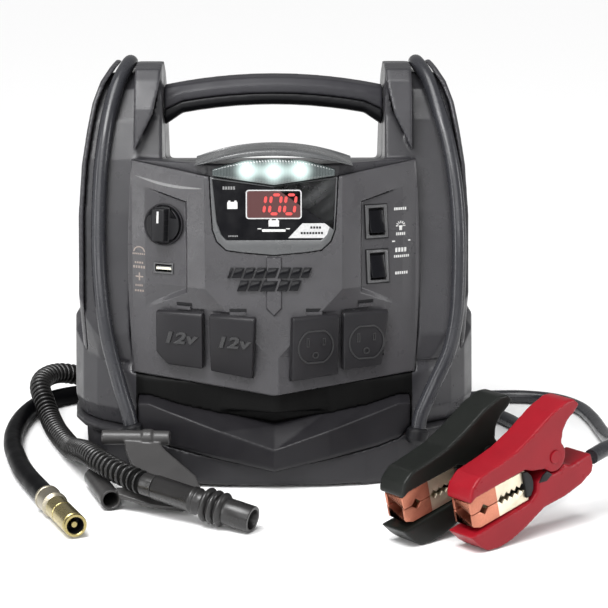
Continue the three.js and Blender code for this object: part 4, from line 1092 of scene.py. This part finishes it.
def raised_text(name, words, size, place, material, body):
    """Generic marking moulded on a part: slanted, widened, 0.9 mm proud."""
    data = bpy.data.curves.new(name, "FONT")
    data.body = words
    data.size = size * MM
    data.shear = 0.22
    data.offset = 0.22 * MM
    data.extrude = 0.6 * MM
    data.bevel_depth = 0.3 * MM
    data.bevel_resolution = 1
    data.align_x = "CENTER"
    data.align_y = "CENTER"
    data.space_character = 1.08
    source = bpy.data.objects.new(name + "_source", data)
    bpy.context.scene.collection.objects.link(source)
    bpy.context.view_layer.update()
    mesh = bpy.data.meshes.new_from_object(source.evaluated_get(bpy.context.evaluated_depsgraph_get()))
    bpy.data.objects.remove(source)
    widen = Matrix.Diagonal((1.45, 1, 1, 1))
    upright = Matrix.Rotation(math.pi / 2, 4, "X")
    where = place.copy()
    where.translation = where.translation * MM
    mesh.transform(where @ upright @ widen)
    finish_mesh(mesh, material, 40)
    piece = bpy.data.objects.new(name, mesh)
    bpy.context.scene.collection.objects.link(piece)
    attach(piece, body)
    return piece


TAB_HALF_WIDTH = 5.6
TAB_HEIGHTS = dict(zip(COVERS, (135.6, 133.4, 133.4, 137.2)))


def outlet_relief(front):
    """The raised outline of a mains outlet: its edge, two blade slots and the round earth hole."""
    lines = [flat_ring(outlet_outline(14, 12.6), outlet_outline(12.9, 11.5), front - 0.7, front + 0.2)]
    for outer, inner, radius, middle in (
        ((1.15, 3.4), (0.45, 2.7), (0.4, 0.2), (-6.2, 3.6)),
        ((1.15, 2.8), (0.45, 2.1), (0.4, 0.2), (6.2, 3.6)),
        ((2.5, 2.5), (1.6, 1.6), (2.4, 1.5), (0, -6.4)),
    ):
        outlines = rounded_box(*outer, radius[0], middle), rounded_box(*inner, radius[1], middle)
        lines.append(flat_ring(*outlines, front - 0.6, front + 0.2))
    return merged(*lines)


def make_covers():
    tabs, slots = [], []
    front = -COVER_THICKNESS / 2
    for name, (x, _) in COVERS.items():
        place = cover_place(name)
        bevelled(name, COVER, 1.1, 3)
        if name.startswith("dc"):
            at = place @ Matrix.Translation((0, front - 0.2, -16.5))
            raised_text(name + "_marking", "12v", 11.5, at, MARKING, BODY_OF[name])
        else:
            relief = moved(outlet_relief(front), place @ Matrix.Translation((0, 0, -19.5)))
            add_piece(name + "_outline", *relief, MARKING, BODY_OF[name], "dark_plastic", 30)
        at = on_face(x + 1.5, TAB_HEIGHTS[name], face_y, 8)
        tabs.append(moved(box_mesh(-TAB_HALF_WIDTH, TAB_HALF_WIDTH, -1.7, 0.5, -2.4, 0), at))
        # Painted shade: black boxes above the tabs stand in for the shade inside the hinge slots.
        slots.append(moved(box_mesh(-TAB_HALF_WIDTH - 0.4, TAB_HALF_WIDTH + 0.9, -0.25, 0.5, 0, 2.4), at))
    add_piece("hinge_tabs", *merged(*tabs), FASCIA, slot="case_plastic", sharp_angle=20)
    add_piece("hinge_slot_shadows", *merged(*slots), BLACK, slot="black_plastic", sharp_angle=20)


def make_sockets():
    """What the covers hide: two 12 V barrels and two mains outlets."""
    contact = lathe_mesh([(0.01, 2.8), (2.2, 2.6), (3.4, 1.2), (3.4, 0), (0.01, 0)], 20)
    for name, x in zip(("dc_socket_left", "dc_socket_right"), SOCKETS_X):
        bevelled(name, BLACK, 0.5, 2)
        back = float(face_y(x, SOCKET_Z)) + 35
        turn = Matrix.Translation((x, back, SOCKET_Z)) @ Matrix.Rotation(math.pi, 4, "Z")
        add_piece(name + "_contact", *moved(contact, turn), BRASS, slot="brass")
    outlines = [rounded_box(1, 3.4, 0.3, (-6.2, 3.6)), rounded_box(1, 2.8, 0.3, (6.2, 3.6))]
    outlines.append(rounded_box(2.4, 2.4, 2.3, (0, -6.4)))
    for name, x in zip(("ac_outlet_left", "ac_outlet_right"), OUTLETS_X):
        bevelled(name, DARK, 0.5, 2)
        # Painted shade: near-black patches where the blade slots and earth hole open.
        slots = [face_mark([(x + a, SOCKET_Z + b) for a, b in outline], -0.5) for outline in outlines]
        add_piece(name + "_slots", *merged(*slots), RECESS_SHADE, slot="black_plastic", sharp_angle=20)


make_covers()
make_sockets()


# ---------------------------------------------------------------- shells, guards, handle
# The band of the front shell between the fascia and the bumper, painted near-black as the shade of the gap
# there.
GAP_HALF_WIDTH, GAP_BACK_Y, GAP_LOW_Z = 103, -60, 41


def make_shells():
    shell = moulded("front_shell", CASE, 1.15, 4)
    # Painted shade: the faces in that band take the near-black recess colour.
    shell.data.materials.append(RECESS_SHADE)
    for polygon in shell.data.polygons:
        x, y, z = polygon.center / MM
        if abs(x) < GAP_HALF_WIDTH and y < GAP_BACK_Y and GAP_LOW_Z < z < face_bottom_z(x) + 3:
            polygon.material_index = 1
    moulded("rear_shell", CASE, 1.6, 5)
    moulded("base_tray", TRAY, 1.4, 4)
    moulded("front_bumper", DARK, 0.9, 4)
    for side in ("left", "right"):
        moulded(f"cable_guard_{side}", CASE, 1.0, 4)
        bevelled(f"gland_{side}", BLACK, 0.8, 3)
    moulded("handle_bar", HANDLE, 1.0, 8)
    moulded("handle_grip", BLACK, 1.0, 8)
    for node in ("air_port", "inflator_port", "charger_inlet"):
        bevelled(node, BRASS if node == "air_port" else BLACK, 0.5, 2)


make_shells()


# ---------------------------------------------------------------- battery clamps
CLAMP_YAW, CLAMP_PITCH = math.radians(38), math.radians(13)
PIVOT = (79, 10.5)
COPPER_LENGTH = 24
THROAT = [(49, -8), (53, -7.8), (56, -4), (57, 1), (56, 6), (53, 10), (49, 11)]
HOLLOW = [(61, -1.5), (66, 2.5), (70, 3.4), (74, -0.5), (68, -3.2)]


def clamp_place(x, y, z):
    turn = Matrix.Rotation(CLAMP_YAW, 4, "Z") @ Matrix.Rotation(-CLAMP_PITCH, 4, "Y")
    return Matrix.Translation((x, y, z)) @ turn


def insert_of(node, place):
    """Plated strips: copper near the tip, tinned behind."""
    piece = bevelled(node, COPPER, 0.25, 2, 30, 30)
    piece.data.materials.append(TINNED)
    split = bmesh.new()
    split.from_mesh(piece.data)
    at = place @ Vector((COPPER_LENGTH, 0, 0)) * MM
    along = (place.to_3x3() @ Vector((1, 0, 0))).normalized()
    whole = list(split.verts) + list(split.edges) + list(split.faces)
    bmesh.ops.bisect_plane(split, geom=whole, plane_co=at, plane_no=along)
    for face in split.faces:
        if (face.calc_center_median() - at).dot(along) > 0:
            face.material_index = 1
    split.to_mesh(piece.data)
    split.free()


def make_clamp(colour, x, y, z, material):
    place = clamp_place(x, y, z)
    upper = f"{colour}_upper_jaw"
    moulded(f"{colour}_clamp_lower_jaw", material, 0.8, 22, rounding=4)
    moulded(f"{colour}_clamp_upper_jaw", material, 0.8, 22, rounding=4)
    # Painted shade: black pieces fill the throat between the jaws and the hollows in their sides.
    throat_shade = moved(prism_mesh(THROAT, -11, 11, 0.5, 2), place)
    add_piece(f"{colour}_throat", *throat_shade, BLACK, slot="black_plastic")
    for y0, y1, label in ((-12.2, -11, "near"), (11, 12.2, "far")):
        hollow_shade = moved(prism_mesh(HOLLOW, y0, y1, 0.2, 2), place)
        add_piece(f"{colour}_hollow_{label}", *hollow_shade, BLACK, slot="black_plastic")
    bevelled(f"{colour}_clamp_pin", STEEL, 0.4, 2)
    insert_of(f"{colour}_clamp_lower_teeth", place)
    insert_of(f"{colour}_clamp_upper_teeth", place)
    for side in (-1, 1):
        boss = lathe_mesh([(0.01, -0.4), (4.4, -0.4), (4.6, 0), (4.6, 0.7), (4.2, 1), (0.01, 1)], 28)
        turn = Matrix.Rotation(0 if side > 0 else math.pi, 4, "Z")
        at = place @ Matrix.Translation((PIVOT[0], side * 12, PIVOT[1])) @ turn
        name = f"{colour}_boss_{'far' if side > 0 else 'near'}"
        add_piece(name, *moved(boss, at), material, upper, SLOT_OF[f"{colour}_clamp_upper_jaw"])


make_clamp("black", 81.5, -235, 27.3, CLAMP_BLACK)
make_clamp("red", 126, -248, 27.3, RED)


# ---------------------------------------------------------------- hose ends
# Turned outlines, as (radius, distance along) points.
FERRULE_OUTLINE = [
    (0.01, 0), (9, 0), (9.5, 0.6), (9.5, 2.8), (9, 3.4), (9, 17.6), (9.4, 18.2), (9.4, 19.6), (8.8, 20.4),
    (7.2, 21.8), (0.01, 22),
]
BARREL_OUTLINE = [
    (0.01, 22.4), (7.2, 22.4), (7.4, 22.8), (7.4, 23.6), (8.2, 24.4), (8.2, 40), (7.9, 40.4), (7.9, 42),
    (8.2, 42.4), (8.2, 66), (7.6, 66.6), (7.6, 67.6), (8.2, 68.2), (8.2, 69.2), (7.8, 70), (6.4, 70),
    (6, 69.6), (6, 58), (0.01, 58),
]
BORE_OUTLINE = [(0.01, 58.1), (5.95, 58.1), (5.95, 68.6), (5.75, 68.6), (5.75, 58.3), (0.01, 58.3)]
CORE_OUTLINE = [(0.01, 58), (3.4, 58), (3.4, 60.2), (2.4, 61), (2.4, 66), (2, 66.8), (0.01, 67)]
BELLOWS = [
    (9.3 + 3 * math.sin(math.pi * i / 8) ** 0.8, middle - 2.9 + 5.8 * i / 8)
    for middle in (43, 49, 55) for i in range(9)
]
SLEEVE_OUTLINE = [
    (0.01, 0), (8.4, 0), (8.8, 0.5), (8.8, 29.4), (9.6, 30.6), (9.6, 32.2), (8.9, 32.8), (8.9, 33.6),
    (9.6, 34.2), (9.6, 35.4), (8.6, 36.4), (8.6, 40), *BELLOWS, (9.5, 58.4), (9.6, 60), (9.6, 78.4),
    (9.2, 79), (7.4, 79), (7, 78.5), (7, 45), (0.01, 45),
]


def make_hose_ends():
    chuck = aimed(CHUCK_START, CHUCK_AIM)
    ferrule = moved(lathe_mesh(FERRULE_OUTLINE, 72), chuck)
    stand_for(add_piece("crimped_ferrule", *ferrule, FERRULE), "hose_ferrule")
    barrel = moved(lathe_mesh(BARREL_OUTLINE, 72), chuck)
    stand_for(add_piece("chuck_barrel", *barrel, BRASS, body="chuck"), "air_chuck")
    # Painted shade: a black lining in the mouth of the chuck stands in for the dark of the bore.
    bore = moved(lathe_mesh(BORE_OUTLINE), chuck)
    add_piece("chuck_bore_shade", *bore, BLACK, body="chuck", slot="black_plastic")
    core = moved(lathe_mesh(CORE_OUTLINE, 32), chuck)
    add_piece("valve_core", *core, BRASS, body="chuck", slot="brass")
    sleeve = moved(lathe_mesh(SLEEVE_OUTLINE, 64), aimed(COUPLING_START, COUPLING_AIM))
    stand_for(add_piece("coupling_sleeve", *sleeve, DUCT, sharp_angle=50), "inflator_coupling")
    moulded("nozzle_adapter", ADAPTER, 0.7, 5)


make_hose_ends()


# ---------------------------------------------------------------- inside and back
def make_inside():
    for material, nodes in (
        (DARK, ["rotary_switch"]), (BLACK, ["battery", "inflator_blower", "cooling_fan"]),
        (BOARD, ["light_board", "control_board", "inverter_board"]), (STEEL, ["air_compressor"]),
    ):
        for node in nodes:
            bevelled(node, material, 0.4, 2)


# The x, y, z and backward lean of each pair of screws.
SCREW_PLACES = ((100, 104, 88, 0), (92, 91, 178, 14))


def make_screws():
    """Cross-head screws that hold the two shells, seen from behind."""
    head = lathe_mesh([(0.01, -0.8), (3.6, -0.8), (3.6, 0.1), (3, 0.7), (0.01, 0.8)], 24)
    # Painted shade: the cross in each head is a black patch standing in for the shade in the recess.
    cross = merged(box_mesh(-0.4, 0.4, 0.7, 0.95, -2.1, 2.1), box_mesh(-2.1, 2.1, 0.7, 0.95, -0.4, 0.4))
    heads, crosses = [], []
    for x, y, z, lean in SCREW_PLACES:
        for side_x in (-x, x):
            at = Matrix.Translation((side_x, y, z)) @ Matrix.Rotation(math.radians(lean), 4, "X")
            heads.append(moved(head, at))
            crosses.append(moved(cross, at))
    add_piece("shell_screws", *merged(*heads), STEEL, slot="steel")
    add_piece("screw_slot_shadows", *merged(*crosses), BLACK, slot="black_plastic", sharp_angle=20)


make_screws()
make_inside()


# ---------------------------------------------------------------- floor and light
MIDDLE = (0, 0, 0.14)
# Name, place and aim in metres, watts, width and height.
AREA_LIGHTS = (
    ("front_softbox", (-0.3, -2.4, 1.35), MIDDLE, 15, 2.2, 0.9),
    ("top_panel", (-0.22, -0.5, 0.66), (-0.02, -0.08, 0.25), 3.4, 0.34, 0.2),
    ("front_strip", (-0.5, -3.0, 0.85), MIDDLE, 13, 2.4, 0.3),
    ("left_strip", (-1.5, -0.9, 0.5), MIDDLE, 9, 0.3, 1.2),
    ("right_strip", (1.6, -0.5, 0.5), MIDDLE, 10, 0.25, 1.2),
)


def make_light(name, place, aim, watts, width, height):
    data = bpy.data.lights.new(name, "AREA")
    data.energy = watts
    data.shape = "RECTANGLE"
    data.size = width
    data.size_y = height
    lamp = bpy.data.objects.new(name, data)
    lamp.location = place
    lamp.rotation_euler = (Vector(aim) - Vector(place)).to_track_quat("-Z", "Y").to_euler()
    bpy.context.scene.collection.objects.link(lamp)


def make_stage():
    material, _, _, shader = new_material("floor_white")
    put(shader, base_color=(0.9, 0.9, 0.9, 1), roughness=0.55)
    bpy.ops.mesh.primitive_plane_add(size=60)
    floor = bpy.context.object
    floor.name = "floor"
    floor.data.materials.append(material)
    world = bpy.data.worlds.new("studio")
    world.use_nodes = True
    background = world.node_tree.nodes["Background"]
    put(background, color=(1, 1, 1, 1), strength=0.36)
    bpy.context.scene.world = world
    sky = bpy.data.lights.new("overhead", "SUN")
    sky.energy = 2.9
    sky.angle = math.radians(40)
    lamp = bpy.data.objects.new("overhead", sky)
    lamp.rotation_euler = Vector((0.22, 0.42, -1)).to_track_quat("-Z", "Y").to_euler()
    bpy.context.scene.collection.objects.link(lamp)
    for light in AREA_LIGHTS:
        make_light(*light)
    bpy.context.scene.view_settings.view_transform = "Standard"


make_stage()
